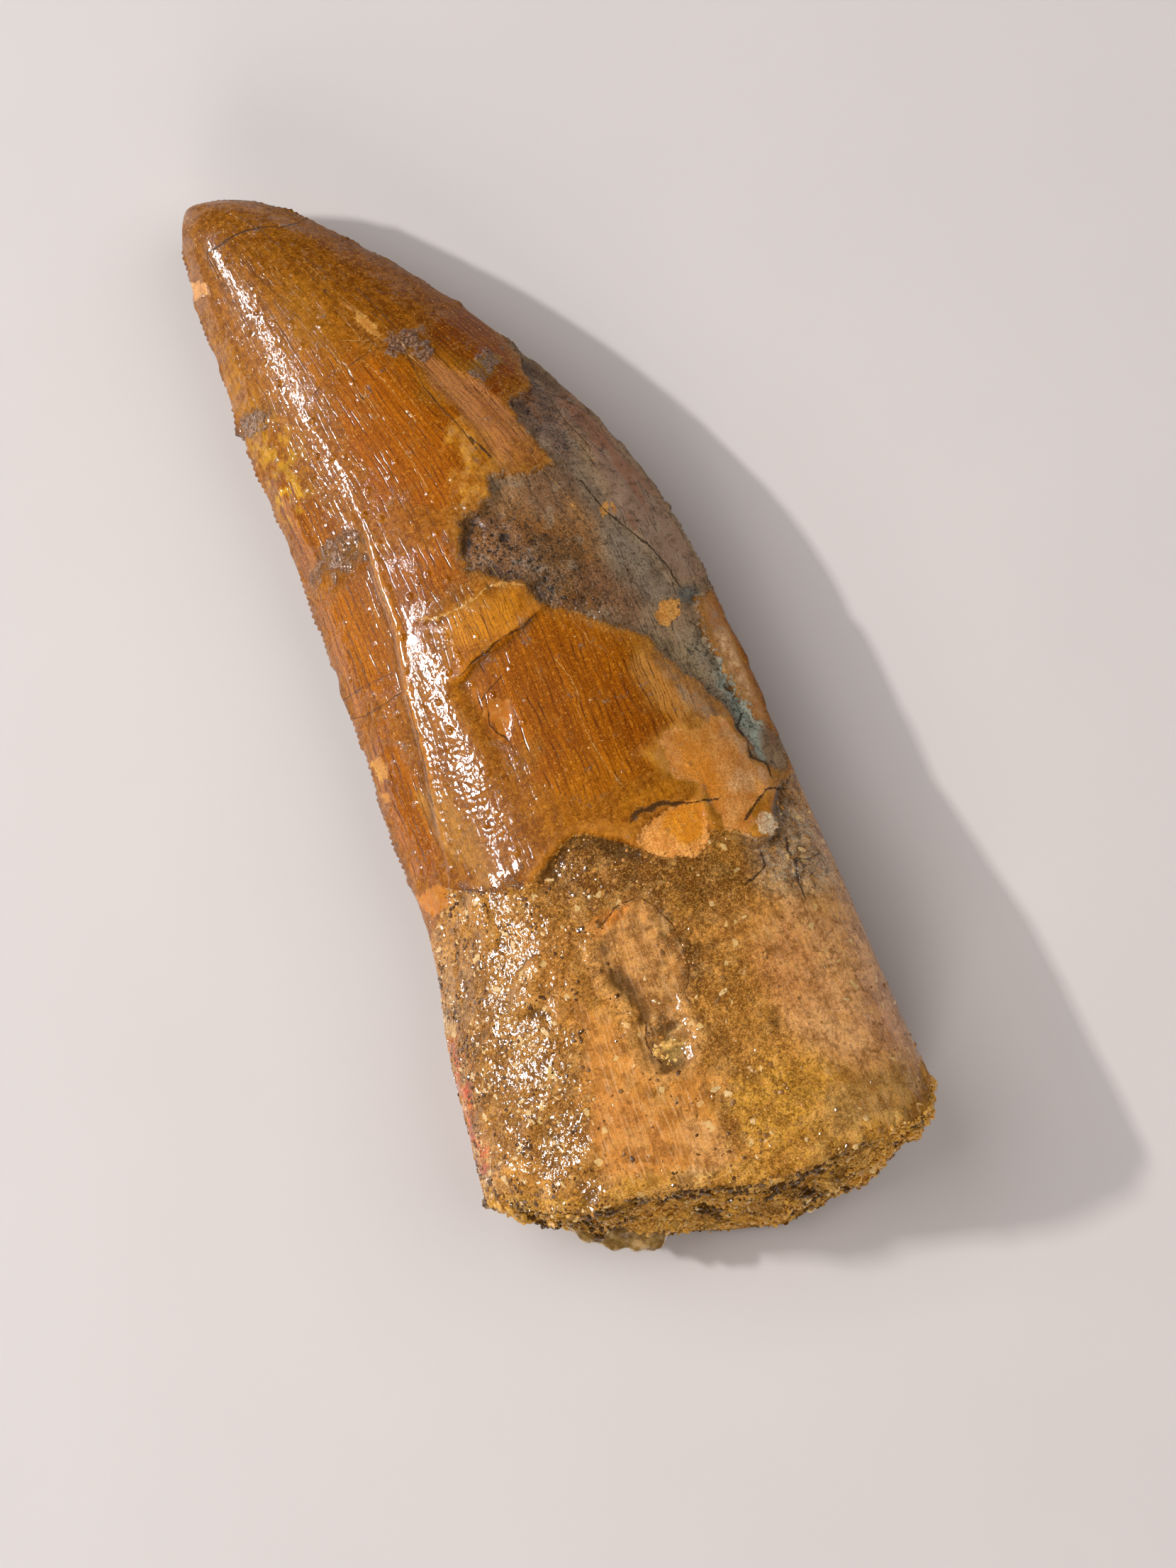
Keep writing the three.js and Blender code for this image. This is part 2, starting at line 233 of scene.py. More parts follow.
def in_order(grid, short_edge, long_edge, tip):
    """One value a wall vertex, in the order of the vertices: front, back, short edge, long edge, tip."""
    columns = [grid[:, 1:ACROSS].ravel(), grid[:, ACROSS + 1:].ravel()]
    return np.concatenate(columns + [short_edge, long_edge, [tip]])


along = in_order(grid_along, edge_along, edge_along, 1.0)
across = in_order(grid_across, -edge_ones, edge_ones, 0.0)
side = in_order(grid_side, edge_ones, edge_ones, 1.0)
points, half_width = plain_point(along, across, side)
wall_count = len(along)
front_count = ROWS * (ACROSS - 1)
edge_first = 2 * front_count
edge_starts = (edge_first, edge_first + edge_count)
tip_index = wall_count - 1

# Vertex numbers by row and column: front columns, then back columns, with the edge's own points between.
grid_index = np.zeros((ROWS, 2 * ACROSS), int)
grid_index[:, 1:ACROSS] = np.arange(front_count).reshape(ROWS, ACROSS - 1)
grid_index[:, ACROSS + 1:] = front_count + np.arange(front_count).reshape(ROWS, ACROSS - 1)
for column, first in zip((0, ACROSS), edge_starts):
    grid_index[:, column] = first + np.arange(ROWS) * EDGE_STEPS

# The tooth, surface. On the real tooth the enamel ends in a ragged step above the sandy root, a hollow in
# the crown is filled with grey rock, plates of enamel have shifted, and the root has a tear-shaped scar with
# a pit. Each is an outline on the front or the back, raised or sunk by how deep a point lies in it.
ENAMEL_LINE_FRONT = np.array([
    [-9.9, 23.1], [-8.6, 23.8], [-7.1, 25.2], [-6.2, 24.2], [-4.8, 23.1], [-2.8, 21.9], [-1.4, 22.1],
    [0.1, 22.6], [1.1, 23.0], [2.4, 23.2], [3.5, 22.7], [5.0, 21.5], [6.0, 20.4], [6.9, 19.5], [8.9, 18.5],
    [10.3, 19.2], [11.2, 19.0], [12.6, 18.4], [13.6, 17.3], [14.4, 17.3], [15.3, 18.4], [16.6, 20.3],
    [18.8, 21.6],
])
ENAMEL_LINE_BACK = np.array([
    [-9.9, 23.1], [-8.0, 21.4], [-6.0, 21.8], [-4.0, 23.4], [-2.0, 23.1], [0.5, 25.0], [2.5, 25.9],
    [5.0, 24.8], [7.0, 25.2], [9.0, 23.4], [11.0, 22.7], [13.0, 20.8], [15.0, 21.3], [18.8, 21.6],
])
ROCK_HOLLOW = [
    (5.2, 44.1), (5.0, 43.5), (6.2, 42.8), (6.4, 41.9), (7.8, 41.0), (8.0, 39.4), (8.9, 38.3), (10.7, 37.2),
    (12.1, 35.2), (13.9, 33.4), (14.7, 31.0), (15.3, 28.4), (16.2, 25.9), (16.3, 22.5), (17.6, 21.0),
    (18.6, 23.0), (17.6, 25.4), (17.2, 29.0), (17.3, 33.0), (18.4, 35.0), (21.5, 35.8), (21.5, 46.0),
    (20.0, 54.0), (17.6, 58.4), (15.9, 60.6), (15.5, 58.0), (15.4, 54.6), (14.6, 54.2), (13.2, 53.8),
    (13.4, 52.0), (13.9, 50.0), (14.0, 48.0), (12.0, 48.2), (10.2, 48.8), (9.4, 49.0), (9.0, 47.8),
    (7.6, 47.2), (6.0, 47.2), (5.4, 45.6),
]
BACK_HOLLOW = [
    (-9.5, 33.0), (-6.8, 33.4), (-4.9, 35.2), (-3.8, 38.4), (-2.0, 41.2), (-2.2, 44.2), (-3.8, 46.4),
    (-4.2, 49.2), (-5.4, 51.2), (-9.0, 52.0),
]
DENTINE_WINDOW = [
    (8.9, 59.4), (9.6, 56.5), (10.0, 54.0), (10.4, 51.6), (10.2, 50.0), (10.3, 48.8), (12.0, 48.3),
    (14.0, 47.9), (14.1, 49.5), (13.6, 51.8), (13.0, 53.8), (12.0, 56.2), (11.0, 58.0), (9.8, 59.6),
]
ROOT_CHIPS = [
    (5.8, 20.7), (6.6, 21.3), (7.5, 21.7), (10.5, 21.8), (11.3, 20.8), (10.9, 19.5), (10.4, 18.4),
    (8.9, 17.8), (6.9, 19.2),
]
PEACH_PLATE = [
    (9.9, 25.4), (12.0, 26.6), (13.6, 26.0), (15.2, 26.4), (16.0, 24.4), (16.2, 21.4), (15.7, 20.4),
    (14.4, 19.2), (13.8, 17.8), (12.6, 17.8), (11.5, 18.6), (11.4, 20.6), (11.6, 22.0), (10.4, 23.6),
]
CROSS_STEPS = np.array([[0.8, 37.0], [2.0, 37.6], [4.0, 37.9], [6.2, 38.1], [7.6, 38.5], [9.2, 38.9]])
PLATE_CHIP = [
    (0.8, 34.1), (1.9, 34.5), (3.0, 34.0), (2.8, 33.0), (2.2, 32.2), (1.6, 31.4), (1.1, 31.8), (1.4, 33.0),
]
SIDE_LINE = np.array([
    [24.6, -7.0], [25.9, -6.5], [29.4, -5.6], [32.9, -4.5], [38.5, -3.2], [42.7, -1.7], [46.2, -1.2],
    [49.9, -0.4], [54.0, -0.2],
])
STRIP_TOP = np.array([[0.5, 42.2], [4.0, 41.4], [5.5, 41.8], [7.7, 40.7]])
CREASE = np.array([
    [43.1, -1.1], [45.6, -0.9], [48.9, -0.1], [52.3, 0.3], [55.7, 0.6], [60.5, -0.2], [63.0, 0.2],
])
SCAR = [
    (-0.3, 14.9), (0.1, 16.3), (1.0, 17.3), (2.4, 17.8), (3.6, 17.7), (4.4, 17.1), (4.9, 16.0), (5.2, 14.4),
    (5.1, 12.6), (4.8, 11.3), (4.2, 10.4), (3.2, 9.8), (2.75, 9.0), (2.7, 8.0), (2.6, 6.9), (2.2, 5.9),
    (1.5, 5.5), (0.6, 5.6), (-0.1, 6.0), (-0.6, 6.8), (-0.8, 7.6), (-0.6, 8.6), (-0.2, 9.5), (0.1, 10.4),
    (0.0, 11.4), (-0.3, 12.4), (-0.45, 13.6),
]
PIT = [
    (1.2, 10.0), (0.3, 9.2), (-0.4, 8.2), (-0.5, 7.2), (-0.1, 6.2), (0.6, 5.7), (1.4, 5.7), (2.1, 6.6),
    (2.5, 8.0), (2.7, 9.4), (2.2, 10.1),
]
SMOOTH_ROOT = [
    (-2.8, 12.6), (-0.8, 11.4), (-1.1, 8.0), (-0.8, 5.4), (0.8, 4.7), (2.9, 4.3), (2.0, 1.2), (0.7, -2.1),
    (-2.2, -1.2), (-5.0, -0.1), (-6.6, 0.9), (-6.2, 4.4), (-4.8, 8.8), (-3.6, 11.4),
]
TIP_CHIP = [(-3.2, 74.8), (-2.1, 74.4), (-1.6, 73.4), (-1.8, 72.7), (-2.4, 73.2), (-3.2, 73.3)]
OCHRE_SIDE = [
    (-5.6, 61.6), (-3.6, 60.9), (-2.3, 59.4), (-2.2, 57.6), (-2.9, 56.4), (-3.9, 55.8), (-6.0, 56.4),
]
OCHRE_STREAK = [
    (9.6, 53.4), (10.4, 51.4), (10.4, 49.6), (9.4, 48.2), (7.6, 47.2), (6.6, 46.4), (6.6, 44.8), (5.4, 44.4),
    (5.2, 45.8), (5.6, 47.4), (7.0, 49.2), (8.2, 51.0), (8.8, 53.0),
]
ROCK_CRUMBS = [
    (4.6, 44.4), (5.4, 47.6), (7.6, 48.0), (9.2, 46.6), (11.4, 44.4), (12.8, 42.4), (13.4, 39.6),
    (12.8, 36.4), (11.2, 36.2), (8.4, 38.2), (7.6, 40.6), (5.2, 42.6),
]
ROCK_PLATE = [
    (16.2, 53.0), (16.9, 48.6), (16.3, 45.6), (16.0, 43.0), (16.8, 40.2), (17.3, 36.6), (21.5, 35.8),
    (21.5, 46.0), (19.5, 54.0),
]
CRUSTY_PATCHES = [
    [(-5.6, 50.7), (-4.2, 51.8), (-2.6, 51.4), (-0.9, 50.7), (-0.6, 48.4), (-2.6, 48.1), (-5.4, 49.5)],
    [(-5.0, 63.6), (-3.2, 63.4), (-1.8, 62.2), (-2.2, 61.1), (-3.4, 61.3), (-5.0, 62.0)],
    [(6.4, 61.2), (8.2, 62.2), (9.8, 62.6), (11.2, 61.6), (11.0, 60.2), (9.4, 59.2), (8.2, 60.2)],
    [(11.6, 56.6), (12.6, 58.2), (14.6, 59.2), (15.0, 58.4), (13.7, 57.0), (12.4, 56.0)],
    [(12.4, 66.4), (13.4, 68.4), (15.6, 65.4), (17.6, 61.6), (18.6, 57.6), (16.4, 57.6), (15.4, 61.4),
     (13.8, 64.2)],
    [(-6.8, 26.2), (-5.6, 24.6), (-3.6, 23.6), (-1.6, 23.4), (-1.8, 21.6), (-6.8, 21.6)],
]
ENAMEL_STEP, ROCK_DEPTH, WINDOW_DEPTH, CHIP_DEPTH, PEACH_DEPTH = 0.6, 0.4, 0.14, 0.3, 0.12
ROCK_WAVES, ROCK_GRAIN, CRUMB_RELIEF, UPPER_ROCK_RELIEF, ROCK_PLATE_RISE = 0.16, 0.05, 0.2, 0.22, 0.16
PLATE_STEP, PLATE_CHIP_DEPTH, STRIP_DEPTH, SIDE_STEP, SIDE_LIP = 0.35, 0.12, 0.1, 0.26, 0.12
CREASE_HEIGHT, CREASE_REACH, TIP_CHIP_DEPTH, OCHRE_DEPTH = 0.15, 1.1, 0.12, 0.08
SCAR_DEPTH, SCAR_RIM, SCAR_GRAIN, PIT_DEPTH, PIT_GRAIN = 0.3, 0.12, 0.05, 0.16, 0.3
CRUST_RELIEF, SMALL_CRUST, LEFT_LUMPS, CALM_RELIEF, ENAMEL_CRUST = 0.24, 0.1, 0.3, 0.05, 0.12
DENTS = ((0.05, 4.5, 17), (0.024, 1.9, 16), (0.007, 0.6, 18))
BACK_GROOVE, GROOVE_REACH = 0.7, 3.6
BREAK_WAVES = ((0.75, 3.4, 31, 3), (0.9, 1.5, 33, 2), (0.3, 0.7, 34, 1))
SERRATION, SERRATION_PITCH, SERRATIONS_START = 0.065, 0.48, 26.0
SHORT_EDGE_MARKS = [
    (62.8, 0.4, 0.45), (61.2, 0.15, 0.3), (41.8, 0.15, 0.6), (23.5, -0.3, 0.6), (74.2, -0.15, 0.7),
]
LONG_EDGE_MARKS = [
    (53.9, -0.35, 0.7), (42.3, 0.25, 0.35), (30.0, 0.12, 0.8), (57.6, -0.1, 0.5), (45.0, -0.1, 0.6),
]

x, y = points[:, 0], points[:, 1]
front = side > 0.0
OUTSIDE = -9.0
ragged = 0.35 * rough(points, 1.6, 3)
fine_ragged = rough(points, 0.6, 7, 2)


def depth_on_front(outline, wave=0.0):
    """Distance inside an outline on the front, its border waving by that much; far outside on the back."""
    return np.where(front, depth_inside(outline, x, y), OUTSIDE) + wave * ragged


enamel_line = np.where(front, follow(ENAMEL_LINE_FRONT, x), follow(ENAMEL_LINE_BACK, x))
root_depth = enamel_line - y + 0.9 * ragged + 0.22 * fine_ragged
hollow = np.where(front, depth_inside(ROCK_HOLLOW, x, y), depth_inside(BACK_HOLLOW, x, y))
rock_depth = hollow + 0.9 * ragged + 0.2 * fine_ragged
scar_depth = depth_on_front(SCAR, 1.1) + 0.22 * rough(points, 0.6, 10, 2)
pit_depth = depth_on_front(PIT, 0.4)
glossy_root = smooth(depth_on_front(SMOOTH_ROOT, 2.6) + 0.4 * fine_ragged, -0.5, 0.6)
on_root = smooth(root_depth, -0.2, 0.24)
on_rock = smooth(rock_depth, -0.1, 0.22)
crusty = np.zeros(wall_count)
crust_border = 0.3 * rough(points, 0.7, 20)
for outline in CRUSTY_PATCHES:
    crusty = np.maximum(crusty, smooth(depth_on_front(outline, 1.9) + crust_border, -0.3, 0.5))

# The enamel ends in a clear step in the middle; beside the short edge the crust laps up over it.
lapped = 1.0 - 0.8 * (1.0 - smooth(x, -3.6, 0.4)) * front
low_root = smooth(y, 6.0, 22.0)
relief = -ENAMEL_STEP * on_root * mix(0.35, 1.0, low_root) * lapped
relief += ENAMEL_CRUST * crusty * (1.0 - on_root) * (0.6 + rough(points, 0.9, 19, 2))
relief -= CHIP_DEPTH * (1.0 - on_root) * smooth(depth_on_front(ROOT_CHIPS, 0.3), -0.1, 0.2)
relief -= PEACH_DEPTH * (1.0 - on_root) * smooth(depth_on_front(PEACH_PLATE, 0.5), -0.2, 0.4)
relief -= WINDOW_DEPTH * smooth(depth_on_front(DENTINE_WINDOW, 0.3), -0.15, 0.3)
relief += on_rock * (ROCK_WAVES * rough(points, 2.8, 5) + ROCK_GRAIN * rough(points, 0.8, 6) - ROCK_DEPTH)
crumbs_here = smooth(depth_on_front(ROCK_CRUMBS, 1.0), -0.5, 0.6) * on_rock
relief += CRUMB_RELIEF * crumbs_here * rough(points, 1.0, 8, 3)
upper_rock = smooth(y, 47.5, 51.0) * on_rock * front
relief += UPPER_ROCK_RELIEF * upper_rock * rough(points, 1.6, 24, 3)
relief += ROCK_PLATE_RISE * smooth(depth_on_front(ROCK_PLATE, 0.4), -0.1, 0.2) * on_rock

# The plate below the cross steps lies deeper and comes back to the surface further down.
below_plate = follow(CROSS_STEPS, x) - y + 0.3 * ragged
plate_sides = smooth(x, -0.6, 0.8) * (1.0 - smooth(x, 9.0, 12.0)) * front
plate_fade = (1.0 - smooth(below_plate, 2.0, 13.0)) * (1.0 - on_rock)
relief -= PLATE_STEP * smooth(below_plate, -0.12, 0.14) * plate_sides * plate_fade
relief -= PLATE_CHIP_DEPTH * smooth(depth_on_front(PLATE_CHIP), -0.1, 0.2)
below_strip = follow(STRIP_TOP, x) - y + 0.3 * ragged
strip_sink = STRIP_DEPTH * smooth(below_strip, -0.12, 0.12) * (1.0 - smooth(below_strip, 0.4, 3.2))
relief -= strip_sink * plate_sides

beside_line = follow(SIDE_LINE, y) - x + 0.25 * ragged
side_span = smooth(y, 24.0, 30.0) * (1.0 - smooth(y, 46.0, 54.0)) * front
relief -= SIDE_STEP * smooth(beside_line, -0.1, 0.3) * side_span
relief += SIDE_LIP * np.exp(-(((beside_line + 0.35) / 0.3) ** 2)) * side_span
crease_span = smooth(y, 41.0, 45.0) * (1.0 - smooth(y, 58.0, 63.0)) * front
relief += CREASE_HEIGHT * np.exp(-np.abs(x - follow(CREASE, y)) / CREASE_REACH) * crease_span
relief -= TIP_CHIP_DEPTH * smooth(depth_on_front(TIP_CHIP, 0.3), -0.1, 0.25)
relief -= OCHRE_DEPTH * smooth(depth_on_front(OCHRE_SIDE, 1.3), -0.1, 0.3)

# The scar is a shallow tear with a low rim, and its narrow end is a deeper rough pit.
scar_rim = SCAR_RIM * np.exp(-(((scar_depth + 0.42) / 0.34) ** 2)) * on_root * front
relief += scar_rim * smooth(cloud(points, 1.8, 9), 0.2, 0.6) * (1.0 - smooth(x, 1.6, 3.6))
scar_sink = mix(0.45, 1.15, smooth(cloud(points, 2.4, 11), 0.3, 0.7)) * mix(1.0, 0.3, smooth(x, 1.0, 4.0))
scar_sink = SCAR_DEPTH * scar_sink * smooth(scar_depth, -0.15, 0.35)
relief -= scar_sink * mix(1.0, 0.6, smooth(scar_depth, 0.3, 2.0))
relief += SCAR_GRAIN * smooth(scar_depth, 0.0, 0.4) * rough(points, 0.9, 13, 2)
relief -= PIT_DEPTH * smooth(pit_depth, -0.1, 0.9)
relief += PIT_GRAIN * smooth(pit_depth, -0.2, 0.3) * rough(points, 0.55, 8, 2)

# Crust: lumps a few millimetres wide with small ones on them, less on the smooth patch and the right side.
calm_right = 0.6 * smooth(x, 7.0, 11.0) * (1.0 - smooth(y, 11.0, 15.0)) * front
crusted = (1.0 - calm_right) * (1.0 - 0.85 * glossy_root) * (1.0 - 0.6 * smooth(scar_depth, -0.4, 0.2))
small_crust = rough(points, 0.85, 14, 2)
left_lumps = smooth(cloud(points, 1.9, 26), 0.62, 0.85)
relief += on_root * crusted * (CRUST_RELIEF * rough(points, 3.4, 12, 2) + SMALL_CRUST * small_crust)
relief += on_root * crusted * front * LEFT_LUMPS * left_lumps * (1.0 - smooth(x, -2.0, 3.0))
relief += on_root * (1.0 - crusted) * CALM_RELIEF * rough(points, 1.2, 15, 2)
dents = sum(depth * rough(points, size, seed, 2) for depth, size, seed in DENTS)
relief += (1.0 - on_root) * (1.0 - on_rock) * dents
middle_x = (edge_point(STATIONS[:, :2], along)[:, 0] + edge_point(STATIONS[:, 2:], along)[:, 0]) / 2.0
groove = np.exp(-(((x - middle_x) / GROOVE_REACH) ** 2)) * (1.0 - low_root) * ~front
relief -= BACK_GROOVE * groove


def normals_of(place):
    """Outward normal at each wall vertex: the cross product of the steps to the next column and row."""
    ring = place[grid_index]
    up = np.gradient(ring, axis=0)
    round_it = (np.roll(ring, -1, axis=1) - np.roll(ring, 1, axis=1)) / 2.0
    normal = np.cross(round_it, up)
    normal /= np.maximum(np.linalg.norm(normal, axis=-1, keepdims=True), 1e-12)
    found = np.zeros_like(place)
    found[grid_index] = normal
    rows = np.arange(edge_count) / EDGE_STEPS
    for first in edge_starts:
        coarse = found[first:first + edge_count:EDGE_STEPS]
        for axis in range(3):
            found[first:first + edge_count, axis] = np.interp(rows, np.arange(ROWS), coarse[:, axis])
    found[tip_index] = (0.0, 1.0, 0.0)
    return found


# How much each point stands out from its surroundings: above zero on lips and lumps, below zero in hollows.
# The finish paints highlight onto the lips and shade into the hollows by this measure.
ring_relief = relief[grid_index]
around = ring_relief.copy()
for _ in range(6):
    around = (np.roll(around, 2, axis=1) + np.roll(around, -2, axis=1) + 2.0 * around) / 4.0
    padded = np.pad(around, ((2, 2), (0, 0)), mode="edge")
    around = (padded[:-4] + padded[4:] + 2.0 * around) / 4.0
prominence = np.zeros(len(along))
prominence[grid_index] = ring_relief - around

# The rim of the break has crumbled away, so the last millimetre above it is rounded down unevenly.
above_break = y - break_reach(x, points[:, 2])
crumbled = np.exp(-np.maximum(above_break, 0.0) / (0.6 + 0.9 * cloud(points, 1.6, 35)))
relief -= crumbled * (0.55 + 0.6 * rough(points, 1.1, 36, 2))

edge_fade = 1.0 - np.abs(across) ** 10
points += normals_of(points) * (relief * edge_fade)[:, None]

# Serrations: the edge points are pushed out and in along the outline, and chips and bumps stand on it.
LONG_EDGE_WEAR = 0.7
edges = zip(edge_starts, (-1.0, 1.0), (1.0, LONG_EDGE_WEAR), (SHORT_EDGE_MARKS, LONG_EDGE_MARKS))
for first, outwards, depth, marks in edges:
    edge = slice(first, first + edge_count)
    edge_points = points[edge]
    edge_y = edge_points[:, 1]
    run = np.concatenate([[0.0], np.cumsum(np.linalg.norm(np.diff(edge_points, axis=0), axis=1))])
    wear = smooth(cloud(edge_points, 2.6, 21), 0.3, 0.62) * mix(0.25, 1.5, cloud(edge_points, 0.6, 22))
    wear *= smooth(edge_y, SERRATIONS_START, SERRATIONS_START + 3.0)
    wear *= (1.0 - smooth(along[edge], 0.95, 0.99)) * depth
    wave = np.tanh(1.4 * np.cos(2.0 * np.pi * run / SERRATION_PITCH + 1.6 * rough(edge_points, 2.0, 25)))
    reach = SERRATION * wave * wear + 0.2 * rough(edge_points, 1.6, 23, 3) * smooth(edge_y, 20.0, 26.0)
    for height, size, length in marks:
        reach += size * np.exp(-(((edge_y - height) / length) ** 2))
    tangent = np.gradient(edge_points[:, :2], axis=0)
    tangent /= np.linalg.norm(tangent, axis=1, keepdims=True)
    points[edge, 0] += outwards * tangent[:, 1] * reach
    points[edge, 1] -= outwards * tangent[:, 0] * reach
points[:, 2] = np.maximum(points[:, 2], WORN_FLAT)

# The broken end: strips from the front rim to the back rim that follow the rough slanted break.
strip_share = np.arange(1, BREAK_STEPS) / BREAK_STEPS
front_rim, back_rim = grid_index[0, 1:ACROSS], grid_index[0, :ACROSS:-1]
rim_start = points[front_rim][:, None, :]
cap = rim_start + (points[back_rim][:, None, :] - rim_start) * strip_share[None, :, None]
cap[..., 1] = break_reach(cap[..., 0], cap[..., 2])
cap_relief = sum(depth * rough(cap, size, seed, layers) for depth, size, seed, layers in BREAK_WAVES)
cap[..., 1] += cap_relief * (np.sin(np.pi * strip_share) ** 0.5)[None, :]
cap_points = cap.reshape(-1, 3)
cap_index = np.zeros((ACROSS + 1, BREAK_STEPS + 1), int)
cap_index[1:ACROSS, 1:BREAK_STEPS] = wall_count + np.arange(len(cap_points)).reshape(ACROSS - 1, -1)
cap_index[1:ACROSS, 0] = front_rim
cap_index[1:ACROSS, BREAK_STEPS] = back_rim
cap_index[0, :] = grid_index[0, 0]
cap_index[ACROSS, :] = grid_index[0, ACROSS]


def squares(index):
    """Faces between the neighbouring rows and columns of a table of vertex numbers."""
    corners = [index[:-1, :-1], index[:-1, 1:], index[1:, 1:], index[1:, :-1]]
    return np.stack(corners, axis=-1).reshape(-1, 4).tolist()


# Faces: squares between inner columns, fans beside the finer edges, a fan at the tip, and the break.
faces = []
blocks = [grid_index[:, first:first + ACROSS - 1] for first in (1, ACROSS + 1)]
for block in blocks:
    faces += squares(block)
low = np.arange(ROWS - 1)
for first, right_column, left_column in zip(edge_starts, (1, ACROSS + 1), (2 * ACROSS - 1, ACROSS - 1)):
    fine = first + low[:, None] * EDGE_STEPS + np.arange(EDGE_STEPS + 1)[None, :]
    right_low, right_high = grid_index[low, right_column], grid_index[low + 1, right_column]
    left_low, left_high = grid_index[low, left_column], grid_index[low + 1, left_column]
    fans = [
        (fine[:, 0], right_low, fine[:, 1]),
        (fine[:, 1], right_low, right_high),
        (fine[:, 1], right_high, fine[:, 2]),
        (fine[:, 2], right_high, fine[:, 3]),
        (left_low, fine[:, 0], fine[:, 1]),
        (left_low, fine[:, 1], left_high),
        (left_high, fine[:, 1], fine[:, 2]),
        (left_high, fine[:, 2], fine[:, 3]),
    ]
    faces += np.concatenate([np.stack(fan, axis=1) for fan in fans]).tolist()
    top_right, top_left = grid_index[-1, right_column].item(), grid_index[-1, left_column].item()
    last = [first + (ROWS - 1) * EDGE_STEPS + step for step in range(EDGE_STEPS)] + [tip_index]
    for low_point, high_point in zip(last[:-1], last[1:]):
        faces += [[low_point, top_right, high_point], [top_left, low_point, high_point]]
for block in blocks:
    faces += np.stack([block[-1, :-1], block[-1, 1:], np.full(ACROSS - 2, tip_index)], axis=1).tolist()
faces += squares(cap_index[1:ACROSS])
short_end, long_end = cap_index[0, 0].item(), cap_index[-1, 0].item()
beside_short, beside_long = cap_index[1].tolist(), cap_index[-2].tolist()
for step in range(BREAK_STEPS):
    faces += [[short_end, beside_short[step + 1], beside_short[step]]]
    faces += [[long_end, beside_long[step], beside_long[step + 1]]]

DRAWING_TIP, DRAWING_WIDEST = 80.6, 20.07
all_points = np.vstack([points, cap_points])
cad_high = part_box("tooth")[1]
origin = np.array([DRAWING_WIDEST - cad_high.x * 1000.0, DRAWING_TIP - cad_high.y * 1000.0, WORN_FLAT])


def to_metres(place):
    """From the drawing's millimetres to the model's metres, as a plain list of points."""
    return ((place - origin) / 1000.0).reshape(-1, 3).tolist()


def make_object(name, corners, polygons, rounded=True):
    """Puts an object with a mesh of these corners and faces in the scene, shaded rounded or flat."""
    mesh = bpy.data.meshes.new(name)
    mesh.from_pydata(corners, [], polygons)
    mesh.polygons.foreach_set("use_smooth", np.full(len(polygons), rounded))
    mesh.update()
    made = bpy.data.objects.new(name, mesh)
    bpy.context.scene.collection.objects.link(made)
    return made


tooth = make_object("tooth_surface", to_metres(all_points), faces)
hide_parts("tooth")
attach(tooth, "root")

# The tooth, colours. Enamel ranges from dark amber to ochre, stained by the ground it lay in; the root is
# sandy brown, dark below the enamel and pinkish beside the long edge; the rock is grey. Stains are patches
# with soft or ragged borders, and chips, windows and plates are patches with sharp ones.


def colour(red, green, blue):
    """Light-true colour from a screen colour of 0 to 255 a channel."""
    screen = np.array([red, green, blue]) / 255.0
    return np.where(screen <= 0.04045, screen / 12.92, ((screen + 0.055) / 1.055) ** 2.4)


def stain(tones, tone, amount):
    """Lays a screen colour over the tones by the amount at each point."""
    return mix(tones, colour(*tone), amount[:, None])


def with_break(wall_values, break_value):
    """Values of the wall's points, followed by one value for all points of the break."""
    return np.concatenate([wall_values, np.full(len(cap_points), break_value)])


all_x, all_y, all_z = all_points.T
count = len(all_points)
is_front = with_break(front, False)
across_all = with_break(across, 0.0)
wobble = rough(all_points, 1.3, 41)
slow = rough(all_points, 5.0, 43)


def plain(tone):
    """The same screen colour at every point."""
    return np.tile(colour(*tone), (count, 1))


def ellipse(middle_x, middle_y, wide, tall, lean=0.0):
    """Outline of an ellipse: sixteen points round its middle, leaned by an angle in degrees."""
    angle = np.linspace(0.0, 2.0 * np.pi, 17)[:-1]
    turn_by = math.radians(lean)
    flat_x = wide / 2.0 * np.cos(angle)
    flat_y = tall / 2.0 * np.sin(angle)
    return np.stack([
        middle_x + flat_x * math.cos(turn_by) - flat_y * math.sin(turn_by),
        middle_y + flat_x * math.sin(turn_by) + flat_y * math.cos(turn_by),
    ], axis=1)


def patch(outline, soft, wavy=0.3, face_front=True):
    """Amount of a patch: 1 well inside its outline or ellipse, 0 outside, over a border of that width."""
    if np.ndim(outline) == 1:
        outline = ellipse(*outline)
    depth = depth_inside(outline, all_x, all_y) + wavy * wobble
    amount = smooth(depth, -soft / 2.0, soft / 2.0) * smooth(1.0 - np.abs(across_all), 0.0, 0.05)
    return np.where(is_front == face_front, amount, 0.0)


def paint(tones, stains, wavy, face_front=True):
    """Lays stains on a face one by one: outline or ellipse, width of its border, colour and strength."""
    for outline, soft, tone, strength in stains:
        tones = stain(tones, tone, patch(outline, soft, wavy, face_front) * strength)
    return tones


